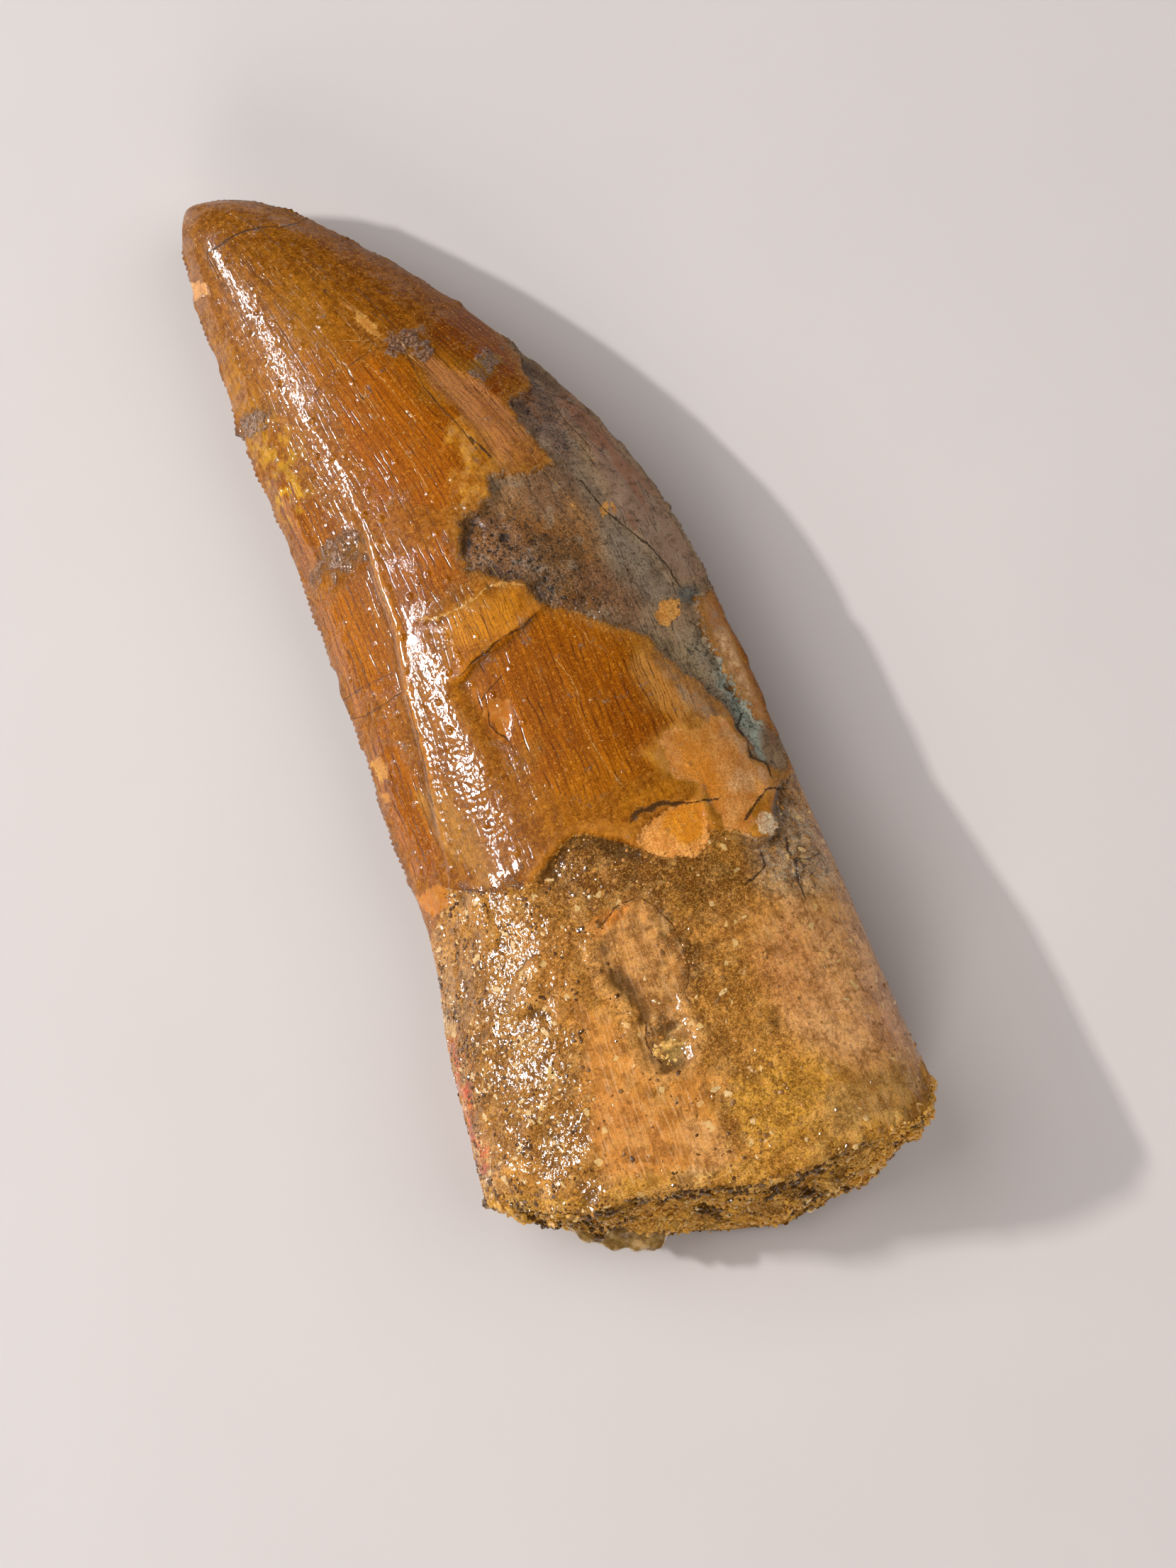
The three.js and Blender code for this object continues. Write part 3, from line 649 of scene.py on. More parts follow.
# Enamel: stains on the front, from the tip down, then a few broad ones on the back.
FRONT_STAINS = [
    ((4.2, 53.0, 8.5, 18.0, -8.0), 3.0, (176, 98, 4), 0.9),
    ((11.8, 64.0, 5.5, 20.0, 24.0), 3.0, (120, 58, 4), 0.85),
    ((3.2, 67.0, 4.2, 6.0), 2.4, (190, 130, 50), 0.75),
    ((13.6, 56.4, 3.6, 5.0), 1.4, (128, 58, 2), 0.9),
    ((10.0, 57.4, 4.4, 3.4, 20.0), 1.6, (150, 104, 50), 0.8),
    ((9.4, 60.5, 2.8, 2.4), 0.9, (104, 70, 38), 0.85),
    ((-3.0, 62.6, 3.6, 1.9, -14.0), 0.8, (112, 84, 56), 0.75),
    ((13.1, 57.3, 2.6, 1.4, 12.0), 0.7, (150, 124, 96), 0.7),
    ([(10.4, 70.0), (12.0, 71.0), (15.6, 66.4), (18.4, 60.0), (16.6, 57.4), (15.6, 61.0), (13.0, 65.6)], 1.4,
     (86, 58, 38), 0.85),
    ((-2.9, 49.8, 5.0, 2.8, 12.0), 1.0, (140, 104, 76), 0.75),
    ((6.0, 31.0, 12.0, 14.0), 3.0, (156, 86, 5), 0.8),
    ((4.2, 25.6, 8.0, 4.0), 2.4, (184, 112, 18), 0.85),
    ((10.8, 28.6, 3.4, 7.0, 12.0), 1.6, (138, 70, 3), 0.7),
    ((13.2, 29.4, 3.6, 8.0, 10.0), 1.6, (200, 144, 76), 0.85),
    ((2.0, 29.6, 2.8, 2.2), 1.0, (150, 104, 66), 0.6),
    (PEACH_PLATE, 2.0, (255, 194, 92), 0.95),
    ((15.4, 22.8, 2.4, 5.0), 1.2, (204, 164, 116), 0.8),
    ((14.8, 27.4, 2.2, 5.0, 16.0), 1.2, (206, 160, 96), 0.85),
    ((12.6, 25.0, 2.6, 2.2, 20.0), 1.0, (226, 156, 74), 0.85),
    ((14.5, 29.6, 2.2, 8.0, 13.0), 0.9, (148, 130, 106), 0.85),
    ((17.1, 22.8, 1.7, 5.0, -4.0), 0.9, (142, 142, 128), 0.85),
    ((12.4, 19.6, 2.4, 1.8), 0.9, (196, 130, 58), 0.8),
    ((18.4, 33.0, 2.0, 4.4), 0.9, (156, 128, 100), 0.95),
    ((18.2, 28.6, 2.6, 7.0, -3.0), 0.9, (236, 194, 142), 0.95),
    ((18.6, 26.0, 1.6, 5.0, -3.0), 0.8, (190, 132, 84), 0.9),
    ((8.4, 23.2, 5.4, 1.5, -8.0), 0.7, (208, 132, 34), 0.9),
    (DENTINE_WINDOW, 0.5, (182, 122, 76), 0.9),
    ((3.8, 40.0, 7.0, 3.4, -4.0), 0.8, (232, 156, 66), 0.75),
    ((-4.4, 45.0, 3.6, 10.0), 2.0, (178, 104, 20), 0.8),
    ((-5.6, 37.0, 3.0, 9.0), 1.6, (180, 104, 10), 0.8),
    ((-7.4, 29.0, 3.0, 8.0), 1.4, (174, 98, 4), 0.85),
    ((-4.6, 27.6, 2.6, 9.0, 8.0), 1.2, (206, 150, 76), 0.85),
    ((0.6, 37.4, 2.6, 5.0), 1.2, (204, 126, 44), 0.6),
]
EDGE_CRUST = [
    (-4.8, 61.5), (-4.7, 66.0), (-4.3, 69.0), (-3.8, 71.6), (-2.5, 71.2), (-2.4, 68.0), (-2.4, 65.0),
    (-2.2, 62.4),
]
BARE_ENAMEL = [
    [(1.2, 63.6), (3.0, 64.8), (5.6, 61.4), (9.0, 59.8), (12.0, 62.0), (15.4, 62.6), (16.4, 58.0),
     (12.6, 56.0),
     (14.4, 51.6), (9.6, 49.4), (8.2, 47.6), (5.6, 49.0), (2.2, 51.8), (2.4, 57.4)],
    [(-5.0, 57.0), (-3.4, 56.8), (-1.4, 50.8), (-5.0, 51.0)],
    [(-5.8, 48.0), (-1.4, 48.2), (0.2, 46.0), (4.4, 46.8), (5.0, 43.4), (0.4, 43.0), (-2.6, 39.6),
     (-7.0, 40.0)],
    [(1.2, 41.0), (7.6, 40.6), (9.4, 38.4), (12.4, 33.6), (13.8, 28.4), (12.4, 24.4), (3.2, 25.4),
     (0.8, 32.0)],
    [(-9.0, 36.6), (-5.4, 38.4), (-5.8, 30.0), (-8.4, 24.6)],
]
BACK_STAINS = [
    ((4.0, 60.0, 10.0, 26.0), 5.0, (170, 98, 8), 0.8),
    ((13.0, 44.0, 8.0, 22.0, 6.0), 4.0, (128, 66, 6), 0.8),
    ((0.0, 32.0, 12.0, 12.0), 4.0, (182, 118, 36), 0.7),
    ((7.0, 48.0, 5.0, 7.0, 30.0), 2.0, (196, 138, 60), 0.6),
    ((14.0, 30.0, 5.0, 8.0), 2.0, (140, 112, 76), 0.7),
]
LACQUER_DEPTH = np.array([0.86, 0.79, 0.22])
enamel = plain((160, 94, 4))
enamel = stain(enamel, (182, 114, 14), smooth(slow, 0.0, 0.6) * 0.6)
enamel = stain(enamel, (132, 72, 2), smooth(-slow, 0.0, 0.6) * 0.6)
enamel = stain(enamel, (140, 86, 16), smooth(all_y, 64.0, 74.0) * 0.85)
enamel = paint(enamel, FRONT_STAINS, 0.7)
ochre_dots = smooth(rough(all_points, 0.7, 47, 3), 0.0, 0.14) * patch((-3.8, 58.6, 4.6, 8.0), 2.4)
broken_ochre = mix(0.25, 1.0, smooth(rough(all_points, 0.7, 45, 2), -0.2, 0.1))
enamel = stain(enamel, (212, 150, 52), patch(OCHRE_STREAK, 0.9, 1.6) * broken_ochre)
enamel = stain(enamel, (250, 196, 80), ochre_dots)
yellow_side = smooth(rough(all_points, 1.4, 49), 0.1, 0.4) * patch((-3.4, 65.0, 3.4, 7.0), 1.6)
enamel = stain(enamel, (196, 132, 44), yellow_side * 0.8)
edge_crust = smooth(rough(all_points, 0.8, 63, 3), -0.15, 0.15) * patch(EDGE_CRUST, 1.2, 0.8)
enamel = stain(enamel, (226, 160, 62), edge_crust * 0.75)

# Where enamel has no growth lines, no brown film or no amber stain, and where the rock is crumbly.
unlined = np.maximum.reduce([
    patch(PEACH_PLATE, 2.4, 1.4),
    patch((18.4, 29.0, 2.6, 13.0, -3.0), 1.0),
    patch(OCHRE_STREAK, 1.0, 1.6) * broken_ochre,
])
bare = np.maximum.reduce([unlined] + [patch(outline, 2.6, 1.1) for outline in BARE_ENAMEL])
bare = np.where(is_front, bare, smooth(slow, -0.3, 0.3))
crumbly = np.maximum.reduce([
    patch(ROCK_CRUMBS, 3.0, 1.2) * mix(0.45, 1.0, smooth(-all_x, -12.0, -8.0)),
    0.5 * patch((16.4, 28.0, 2.4, 11.0, -6.0), 1.4, 1.0),
    0.45 * patch((15.2, 53.0, 4.0, 10.0, 8.0), 1.6, 1.0),
])
unstained = np.maximum.reduce([
    unlined,
    patch(DENTINE_WINDOW, 0.6, 0.4),
    0.8 * patch((13.2, 29.4, 3.6, 8.0, 10.0), 1.6, 0.7),
    0.8 * patch((-4.6, 27.6, 2.6, 9.0, 8.0), 1.2, 0.7),
    patch((14.4, 25.6, 5.2, 11.0, 12.0), 1.6, 0.8),
])
enamel = enamel * mix(1.0, LACQUER_DEPTH, (1.0 - unstained)[:, None])
enamel = paint(enamel, BACK_STAINS, 1.0, False)

# Root: sandy brown with a dark band below the enamel, a tan scar, a pinkish right side and an olive foot.
BROAD_ROOT_STAINS = [
    ((-9.0, 12.0, 9.0, 18.0, 12.0), 4.0, (128, 84, 32), 0.85),
    ((4.0, 19.8, 10.0, 6.0, -22.0), 2.4, (80, 46, 8), 0.95),
    ((8.6, 16.0, 7.0, 6.4, -20.0), 3.4, (92, 58, 12), 0.9),
    ((15.4, 15.6, 6.4, 8.0), 2.6, (182, 166, 140), 0.9),
    ((14.8, 18.0, 1.6, 5.0, -30.0), 0.9, (70, 62, 52), 0.6),
    ((13.4, 5.6, 8.6, 13.0, 4.0), 3.6, (232, 172, 114), 0.9),
    ((10.6, 8.4, 5.4, 6.0), 3.0, (188, 118, 58), 0.6),
    ((15.2, 2.6, 3.0, 5.0), 2.0, (206, 150, 114), 0.7),
    ((6.0, 0.0, 10.0, 6.4, -18.0), 2.6, (216, 158, 52), 0.8),
    ((11.6, -2.4, 9.0, 3.4, -4.0), 1.6, (176, 136, 74), 0.8),
]
ROOT_MARKS = [
    ((-3.4, 3.4, 3.4, 6.0, 10.0), 2.0, (196, 124, 58), 0.6),
    ((0.2, 0.2, 2.2, 4.4, 8.0), 1.0, (222, 164, 100), 0.6),
    ((6.6, 11.0, 2.6, 9.0, 12.0), 2.0, (162, 108, 42), 0.7),
    ((4.4, 5.4, 2.0, 6.0, 16.0), 1.4, (138, 92, 38), 0.7),
    ((-3.4, 16.0, 5.0, 7.0), 2.6, (176, 112, 42), 0.7),
    ((9.4, 12.6, 3.4, 4.0), 2.0, (178, 118, 54), 0.6),
    (SCAR, 0.5, (206, 144, 76), 0.9),
    ((2.4, 11.0, 3.0, 4.6), 1.4, (160, 110, 58), 0.75),
    ((3.4, 14.4, 2.6, 4.0), 1.4, (226, 164, 96), 0.6),
    ((2.0, 17.0, 3.6, 0.8, 6.0), 0.5, (226, 130, 40), 0.9),
    ((3.0, 17.7, 2.2, 0.4, -8.0), 0.3, (58, 36, 16), 0.95),
    ((0.3, 12.8, 1.6, 3.4, 8.0), 0.9, (104, 72, 34), 0.7),
    ((5.1, 13.6, 1.5, 7.0, -3.0), 0.5, (66, 42, 14), 0.95),
    ((2.3, 0.8, 1.0, 6.4, 6.0), 0.7, (120, 78, 28), 0.75),
    ((-1.8, -1.4, 6.0, 1.1, -12.0), 0.6, (244, 190, 124), 0.85),
    ((4.1, 9.6, 0.8, 3.0, -38.0), 0.6, (90, 60, 26), 0.8),
    (PIT, 0.5, (196, 144, 84), 0.9),
    ((0.0, 8.0, 0.7, 2.6, 8.0), 0.4, (84, 62, 38), 0.8),
    ((1.3, 8.9, 1.6, 0.5, 10.0), 0.3, (74, 56, 36), 0.8),
    ((1.1, 6.8, 2.0, 1.5), 0.4, (252, 204, 112), 0.95),
]
ROOT_BACK_STAINS = [
    ((0.0, 10.0, 6.0, 24.0, 8.0), 3.0, (146, 104, 56), 0.8),
    ((10.0, 14.0, 9.0, 10.0), 4.0, (132, 98, 58), 0.7),
    ((-9.0, 10.0, 6.0, 14.0, 14.0), 3.0, (196, 142, 84), 0.6),
    ((4.0, 21.6, 16.0, 4.0, 4.0), 2.0, (110, 76, 30), 0.8),
]
root = plain((196, 134, 54))
root = stain(root, (214, 148, 62), smooth(slow, -0.1, 0.5) * 0.6)
root = stain(root, (150, 98, 34), smooth(-slow, 0.0, 0.5) * 0.6)
root = paint(root, BROAD_ROOT_STAINS, 0.7)
root = stain(root, (214, 140, 58), patch(SMOOTH_ROOT, 0.9, 2.2) * 0.95)
root = paint(root, ROOT_MARKS, 0.7)
scar_specks = smooth(rough(all_points, 0.6, 61, 2), 0.05, 0.3) * patch(SCAR, 0.8)
root = stain(root, (118, 76, 32), scar_specks * 0.6)
scar_lip = np.exp(-(((with_break(scar_depth, OUTSIDE) + 0.4) / 0.32) ** 2))
scar_lip = scar_lip * (1.0 - smooth(all_x, 3.4, 5.0)) * (1.0 - smooth(all_y, 14.5, 16.5))
root = stain(root, (228, 166, 96), scar_lip * 0.85)
scorched = smooth(0.22 - np.abs(rough(all_points, 1.4, 57, 2)), 0.08, 0.2)
scorched = scorched * patch((15.2, 14.9, 3.6, 7.6, -8.0), 1.6)
root = stain(root, (34, 28, 22), scorched * 0.9)
root = paint(root, ROOT_BACK_STAINS, 1.0, False)

# The left border of the root shows layers: cream, then orange red, then cream again down to the break.
from_short_edge = (across_all + 1.0) * with_break(half_width, WIDEST_HALF)
torn = rough(all_points, 1.1, 59, 3)
border = (1.0 - smooth(from_short_edge + 0.9 * torn, 0.5, 1.3)) * (1.0 - smooth(all_y, 17.5, 19.0))
red_up = (all_y > 8.2 + 3.0 * torn)[:, None]
cream_up = (all_y > 15.6 + 3.0 * torn)[:, None]
layer_tone = np.where(cream_up, colour(226, 182, 106), colour(234, 62, 6))
root = mix(root, np.where(red_up, layer_tone, colour(242, 188, 112)), (border * 0.96)[:, None])
break_tone = plain((202, 148, 56))
break_tone = stain(break_tone, (232, 188, 106), smooth(rough(all_points, 2.0, 51), 0.0, 0.4) * 0.8)
break_tone = stain(break_tone, (88, 56, 14), smooth(rough(all_points, 1.9, 53, 3), 0.0, 0.4) * 0.8)
above_rim = all_y - break_reach(all_x, all_z) - 0.8 - 1.0 * cloud(all_points, 1.6, 55)
rim_band = smooth(-above_rim, -0.3, 0.3)
broken = with_break(np.zeros(wall_count), 1.0)
root = mix(root, break_tone, np.maximum(broken, 0.75 * rim_band)[:, None])

# Rock: grey brown in the middle of the hollow, grey beside the long edge, and blue grey low down.
ROCK_STAINS = [
    ((11.4, 43.6, 7.6, 9.0), 2.4, (150, 104, 58), 0.9),
    (ROCK_CRUMBS, 1.8, (124, 76, 26), 0.95),
    ((10.0, 41.0, 5.0, 4.6, -20.0), 1.8, (100, 72, 42), 0.75),
    ((13.4, 38.0, 3.4, 4.4, 30.0), 1.4, (116, 78, 52), 0.8),
    ((15.2, 45.4, 2.4, 16.0, 4.0), 1.4, (134, 112, 90), 0.9),
    ((14.6, 48.6, 2.2, 5.0), 1.2, (134, 110, 88), 0.7),
    ((12.6, 46.4, 3.8, 4.6), 1.4, (112, 80, 56), 0.75),
    ((15.4, 38.6, 3.4, 7.0), 1.8, (134, 118, 98), 0.8),
    ((13.0, 36.4, 3.0, 4.0, 20.0), 1.6, (128, 90, 60), 0.7),
    (ROCK_PLATE, 0.7, (148, 118, 98), 0.9),
    ((17.5, 50.6, 1.8, 6.0, 12.0), 1.4, (140, 90, 64), 0.8),
    ((17.0, 55.0, 2.4, 5.0, 20.0), 1.2, (104, 72, 54), 0.85),
    ((14.8, 52.6, 3.0, 8.0, 6.0), 1.4, (118, 92, 80), 0.85),
    ((14.6, 53.2, 0.8, 3.4), 0.5, (140, 84, 40), 0.8),
    ((16.2, 28.0, 2.6, 10.0, -4.0), 1.6, (172, 156, 128), 0.85),
    ((17.0, 26.6, 1.5, 9.0, -6.0), 0.9, (172, 186, 172), 0.9),
    ((14.6, 31.4, 2.0, 6.0, 14.0), 1.2, (158, 134, 100), 0.8),
    ((17.8, 35.3, 1.6, 1.8), 0.6, (84, 90, 88), 0.85),
]
rock = plain((146, 116, 86))
rock = stain(rock, (166, 138, 106), smooth(slow, 0.0, 0.5) * 0.5)
rock = paint(rock, ROCK_STAINS, 0.6)
rock = stain(rock, (146, 122, 92), patch(BACK_HOLLOW, 2.0, 0.6, False) * 0.5)

# Chips and windows, each with its own colour; a point takes the one that it lies deepest in.
CHIPS = [
    (TIP_CHIP, (226, 172, 108), 0.25),
    ([(6.6, 64.8), (6.9, 65.6), (7.3, 64.9), (7.7, 63.6), (7.6, 62.6), (7.1, 62.5), (6.8, 63.4)],
     (204, 154, 76), 0.15),
    ([(6.2, 66.9), (6.5, 66.4), (7.0, 65.0), (6.7, 65.0)], (186, 130, 58), 0.1),
    ([(14.4, 34.0), (14.9, 35.1), (15.6, 35.5), (16.9, 35.3), (16.4, 34.3), (15.4, 33.7)],
     (226, 164, 86), 0.3),
    ([(14.8, 42.8), (15.2, 43.7), (15.8, 43.9), (15.5, 43.0)], (204, 154, 88), 0.2),
    ([(15.8, 43.2), (16.1, 43.6), (16.3, 43.2), (16.0, 42.9)], (196, 150, 90), 0.1),
    (PLATE_CHIP, (172, 100, 14), 0.25),
    ([(-9.4, 26.2), (-7.6, 26.0), (-7.1, 25.0), (-7.4, 23.9), (-8.8, 23.9), (-9.6, 24.6)],
     (200, 122, 10), 0.3),
    ([(-7.9, 36.4), (-6.9, 36.2), (-6.7, 35.2), (-7.1, 34.3), (-7.8, 34.6)], (204, 142, 42), 0.25),
    ([(-8.2, 34.0), (-7.5, 33.6), (-7.7, 32.9), (-8.3, 33.0)], (196, 132, 40), 0.2),
    (ROOT_CHIPS, (240, 168, 88), 0.2),
    (PEACH_PLATE, (228, 158, 84), 0.9),
    ([(13.7, 18.4), (14.4, 18.9), (15.1, 18.5), (15.1, 17.5), (14.3, 17.1), (13.7, 17.5)],
     (255, 242, 204), 0.2),
    ([(-2.4, 21.2), (-1.9, 21.4), (-1.8, 20.9), (-2.2, 20.7)], (214, 180, 112), 0.1),
    ([(0.0, 20.0), (0.3, 19.9), (0.2, 19.3), (-0.1, 19.5)], (222, 186, 120), 0.1),
    ([(5.1, 3.5), (5.4, 3.3), (5.5, 2.7), (5.2, 2.7)], (226, 200, 150), 0.05),
    ([(7.6, 9.4), (8.3, 9.6), (8.2, 9.1), (7.7, 9.0)], (214, 182, 120), 0.05),
]
BACK_CHIPS = [
    ([(2.0, 40.0), (3.4, 41.2), (4.2, 40.2), (3.6, 38.6), (2.4, 38.4)], (196, 132, 50), 0.3),
    ([(11.0, 33.0), (12.8, 33.6), (13.4, 32.0), (12.0, 31.0)], (206, 146, 78), 0.3),
    ([(-7.0, 27.0), (-5.2, 28.0), (-4.6, 26.2), (-6.0, 25.0)], (210, 150, 70), 0.3),
    ([(5.0, 64.0), (6.0, 66.0), (6.6, 64.4), (6.0, 62.6)], (200, 146, 70), 0.3),
]
ORANGE_GLASS = [(7.9, 20.6), (8.6, 21.6), (10.4, 21.7), (11.0, 20.8), (10.6, 19.6), (9.8, 18.6),
     (8.6, 18.8), (8.6, 19.8)]
PLATE_STAINS = [
    ((12.0, 22.4, 2.2, 7.6, -12.0), 1.4, (220, 136, 30), 0.75),
    ((13.2, 25.6, 2.4, 2.0), 1.0, (196, 136, 62), 0.7),
    ((15.8, 23.6, 1.6, 5.4), 1.0, (172, 146, 114), 0.75),
    ((14.6, 21.4, 1.8, 1.2, 20.0), 0.6, (240, 188, 128), 0.8),
    ((13.6, 18.8, 2.6, 1.6), 0.8, (190, 126, 54), 0.7),
]
CHIP_REACH = 0.6
chip_depths = np.full(count, OUTSIDE)
chip_tone = plain((200, 150, 80))
for face_front, chips in ((True, CHIPS), (False, BACK_CHIPS)):
    for outline, tone, wavy in chips:
        depth = depth_inside(outline, all_x, all_y) + wavy * wobble
        deeper = (is_front == face_front) & (depth > np.maximum(chip_depths, -CHIP_REACH))
        chip_depths = np.where(deeper, depth, chip_depths)
        chip_tone[deeper] = colour(*tone)
chip_tone = stain(chip_tone, (226, 142, 12), patch(ORANGE_GLASS, 0.6, 0.6) * 0.85)
chip_tone = paint(chip_tone, PLATE_STAINS, 1.0)

# Cracks: each is a width and a line on the front. Dark ones are open or glued, one partly painted shadow;
# pale ones healed scratches.
DARK_CRACKS = [
    (0.16, [(-0.4, 75.6), (0.6, 75.4), (1.8, 75.5), (3.1, 75.3), (4.4, 74.9), (5.2, 74.4), (6.2, 74.4),
     (7.0, 74.8)]),
    (0.07, [(1.4, 61.1), (2.8, 61.7), (4.5, 61.6), (6.2, 61.8), (7.6, 61.6), (8.3, 60.9)]),
    # Crack along the cross steps, drawn dark also as painted shadow under the ledge where the plate steps
    # down.
    (0.13, [(0.9, 37.2), (2.0, 37.6), (3.2, 37.7), (4.4, 38.0), (6.3, 38.0), (7.6, 38.4)]),
    (0.12, [(1.0, 34.8), (1.9, 35.2), (3.4, 35.7)]),
    (0.14, [(1.4, 34.0), (1.0, 33.2), (1.2, 32.4), (1.6, 31.6)]),
    (0.4, [(6.4, 22.2), (7.0, 22.6), (7.8, 22.3), (8.6, 22.4), (9.6, 21.9)]),
    (0.18, [(9.6, 21.9), (11.0, 21.3), (12.4, 20.9)]),
    (0.2, [(13.4, 18.8), (14.6, 19.6), (15.7, 20.2), (16.8, 19.9), (17.6, 20.6)]),
    (0.2, [(11.2, 14.7), (12.2, 14.9), (12.9, 15.2), (13.1, 16.2)]),
    (0.22, [(15.2, 16.6), (14.8, 15.6), (14.9, 14.6), (14.4, 13.4), (14.2, 12.2)]),
    (0.14, [(14.9, 14.9), (15.8, 14.4), (16.6, 14.6)]),
    (0.14, [(1.2, 16.9), (2.0, 17.3), (2.9, 17.6), (3.8, 17.4)]),
    (0.09, [(4.5, 17.0), (5.0, 16.0), (5.4, 14.4), (5.2, 12.6), (4.9, 11.2), (4.3, 10.3), (3.4, 9.7)]),
    (0.11, [(0.6, 9.4), (0.0, 8.4), (-0.1, 7.4), (0.2, 6.4)]),
    (0.08, [(-7.4, 41.4), (-5.4, 41.0), (-3.2, 40.4)]),
    (0.1, [(-7.4, 39.8), (-6.4, 39.2), (-5.0, 39.0), (-3.4, 38.8)]),
    (0.1, [(-0.5, 49.9), (-1.0, 47.4), (-1.2, 46.2), (-1.5, 44.0), (-1.8, 42.6)]),
    (0.1, [(-3.1, 38.4), (-3.9, 35.0), (-4.5, 32.9), (-5.2, 30.6)]),
    (0.1, [(16.3, 47.0), (16.8, 48.6), (16.2, 51.0), (16.0, 53.6)]),
    (0.16, [(15.0, 46.2), (15.4, 43.4), (16.3, 41.2), (17.0, 39.6), (17.4, 37.6), (17.4, 36.2)]),
    (0.22, [(16.4, 21.0), (16.6, 22.0), (15.8, 22.8), (16.2, 24.0), (16.0, 25.2), (16.8, 26.0)]),
    (0.1, [(8.6, 60.4), (8.5, 57.4), (8.9, 55.2), (9.3, 53.6), (9.6, 51.4)]),
    (0.18, [(9.2, 54.0), (9.5, 52.8), (9.9, 51.6), (10.2, 50.4)]),
    (0.08, [(7.4, 68.9), (7.9, 66.6), (8.4, 64.6), (8.9, 62.4)]),
]
PALE_CRACKS = [
    (0.3, [(-4.8, -0.7), (-3.2, -1.5), (-1.6, -2.0), (0.2, -2.2), (1.3, -2.0)]),
    (0.3, [(0.4, 42.3), (1.6, 41.7), (2.8, 41.6), (4.0, 41.4), (5.4, 41.8), (6.6, 41.5), (7.7, 40.7)]),
    (0.09, [(7.2, 34.9), (7.5, 33.2), (7.4, 31.7), (6.8, 30.7), (6.6, 28.7), (6.7, 26.2), (7.0, 24.6)]),
    (0.07, [(4.7, 63.8), (5.8, 63.1), (7.0, 62.5), (7.7, 62.6)]),
    (0.06, [(9.6, 36.6), (9.9, 35.6), (9.8, 34.9), (10.4, 34.0)]),
    (0.06, [(10.8, 33.2), (10.6, 32.2), (10.9, 31.4)]),
    (0.08, [(4.4, 62.0), (4.6, 58.4), (5.0, 55.0), (5.2, 52.6), (5.2, 50.6)]),
    (0.08, [(5.6, 61.6), (6.2, 59.4), (6.6, 57.2), (6.8, 55.4)]),
    (0.07, [(3.5, 64.2), (3.9, 62.6), (3.8, 61.8)]),
    (0.06, [(5.6, 70.2), (6.0, 68.6), (6.4, 67.2), (6.9, 65.6)]),
    (0.05, [(2.2, 75.2), (2.6, 74.0), (3.0, 72.6)]),
]
HAIRLINES, HAIRLINE_POINTS = 46, 5
DARK, PALE = 0.0, 1.0
CRACK_FAR, CRACK_TAPER = 9.0, 0.35
cracks = [(DARK, *crack) for crack in DARK_CRACKS] + [(PALE, *crack) for crack in PALE_CRACKS]
rng = np.random.default_rng(20)


def face_point(share_across, height):
    """Point on the face at a share across (-1 short edge, 1 long edge) and a height up the tooth."""
    at = np.interp(height, middle_line[:, 1], fine_along)
    spot = section_point(np.array([at]), np.array([share_across]), np.array([1.0]))[0][0]
    return float(spot[0]), float(spot[1])


for _ in range(HAIRLINES):
    line_across = rng.uniform(-0.8, 0.85)
    low_end = rng.uniform(26.0, 70.0)
    length = rng.uniform(3.0, 11.0)
    drift = rng.normal(0.0, 0.015, HAIRLINE_POINTS).cumsum()
    heights = np.linspace(low_end, min(low_end + length, 77.0), HAIRLINE_POINTS)
    hairline_kind = DARK if rng.random() < 0.55 else PALE
    hairline = [face_point(line_across + off, height) for off, height in zip(drift, heights)]
    cracks.append((hairline_kind, rng.uniform(0.03, 0.06), hairline))


def from_path(path, x, y):
    """Distance of points from a path, the same with a sign for the side of it, and how far past its ends."""
    nearest = np.full(x.shape, CRACK_FAR)
    signed = np.full(x.shape, CRACK_FAR)
    beyond = np.zeros(x.shape)
    for part, ((ax, ay), (bx, by)) in enumerate(zip(path[:-1], path[1:])):
        span = math.hypot(bx - ax, by - ay)
        raw = ((x - ax) * (bx - ax) + (y - ay) * (by - ay)) / span ** 2
        held = np.clip(raw, 0.0, 1.0)
        distance = np.hypot(x - mix(ax, bx, held), y - mix(ay, by, held))
        turn_sign = np.sign((bx - ax) * (y - ay) - (by - ay) * (x - ax))
        before = -raw * span if part == 0 else 0.0
        after = (raw - 1.0) * span if part == len(path) - 2 else 0.0
        closer = distance < nearest
        nearest = np.where(closer, distance, nearest)
        signed = np.where(closer, turn_sign * distance, signed)
        beyond = np.where(closer, np.maximum(np.maximum(before, after), 0.0), beyond)
    return nearest, signed, beyond


crack_offset = np.full(count, CRACK_FAR)
crack_kind = np.zeros(count)
crack_width = np.zeros(count)
nearest_crack = np.full(count, CRACK_FAR)
for crack_is, width, path in cracks:
    lowest, highest = np.min(path, axis=0) - 1.0, np.max(path, axis=0) + 1.0
    inside = np.all((all_points[:, :2] > lowest) & (all_points[:, :2] < highest), axis=1)
    near = np.flatnonzero(is_front & inside)
    nearest, signed, beyond = from_path(path, all_x[near], all_y[near])
    better = nearest < nearest_crack[near]
    picked = near[better]
    nearest_crack[picked] = nearest[better]
    crack_offset[picked] = signed[better]
    crack_kind[picked] = crack_is
    crack_width[picked] = width * (1.0 - smooth(beyond[better], 0.0, CRACK_TAPER))


def store(mesh, name, kind, field, columns):
    """Writes columns of numbers to the vertices under a name that the material can read."""
    attribute = mesh.attributes.new(name, kind, "POINT")
    attribute.data.foreach_set(field, np.stack(columns, axis=1).astype(np.float32).ravel())


def store_colour(mesh, name, tones):
    """Writes one colour to each vertex."""
    store(mesh, name, "FLOAT_COLOR", "color", [*tones.T, np.ones(len(tones))])


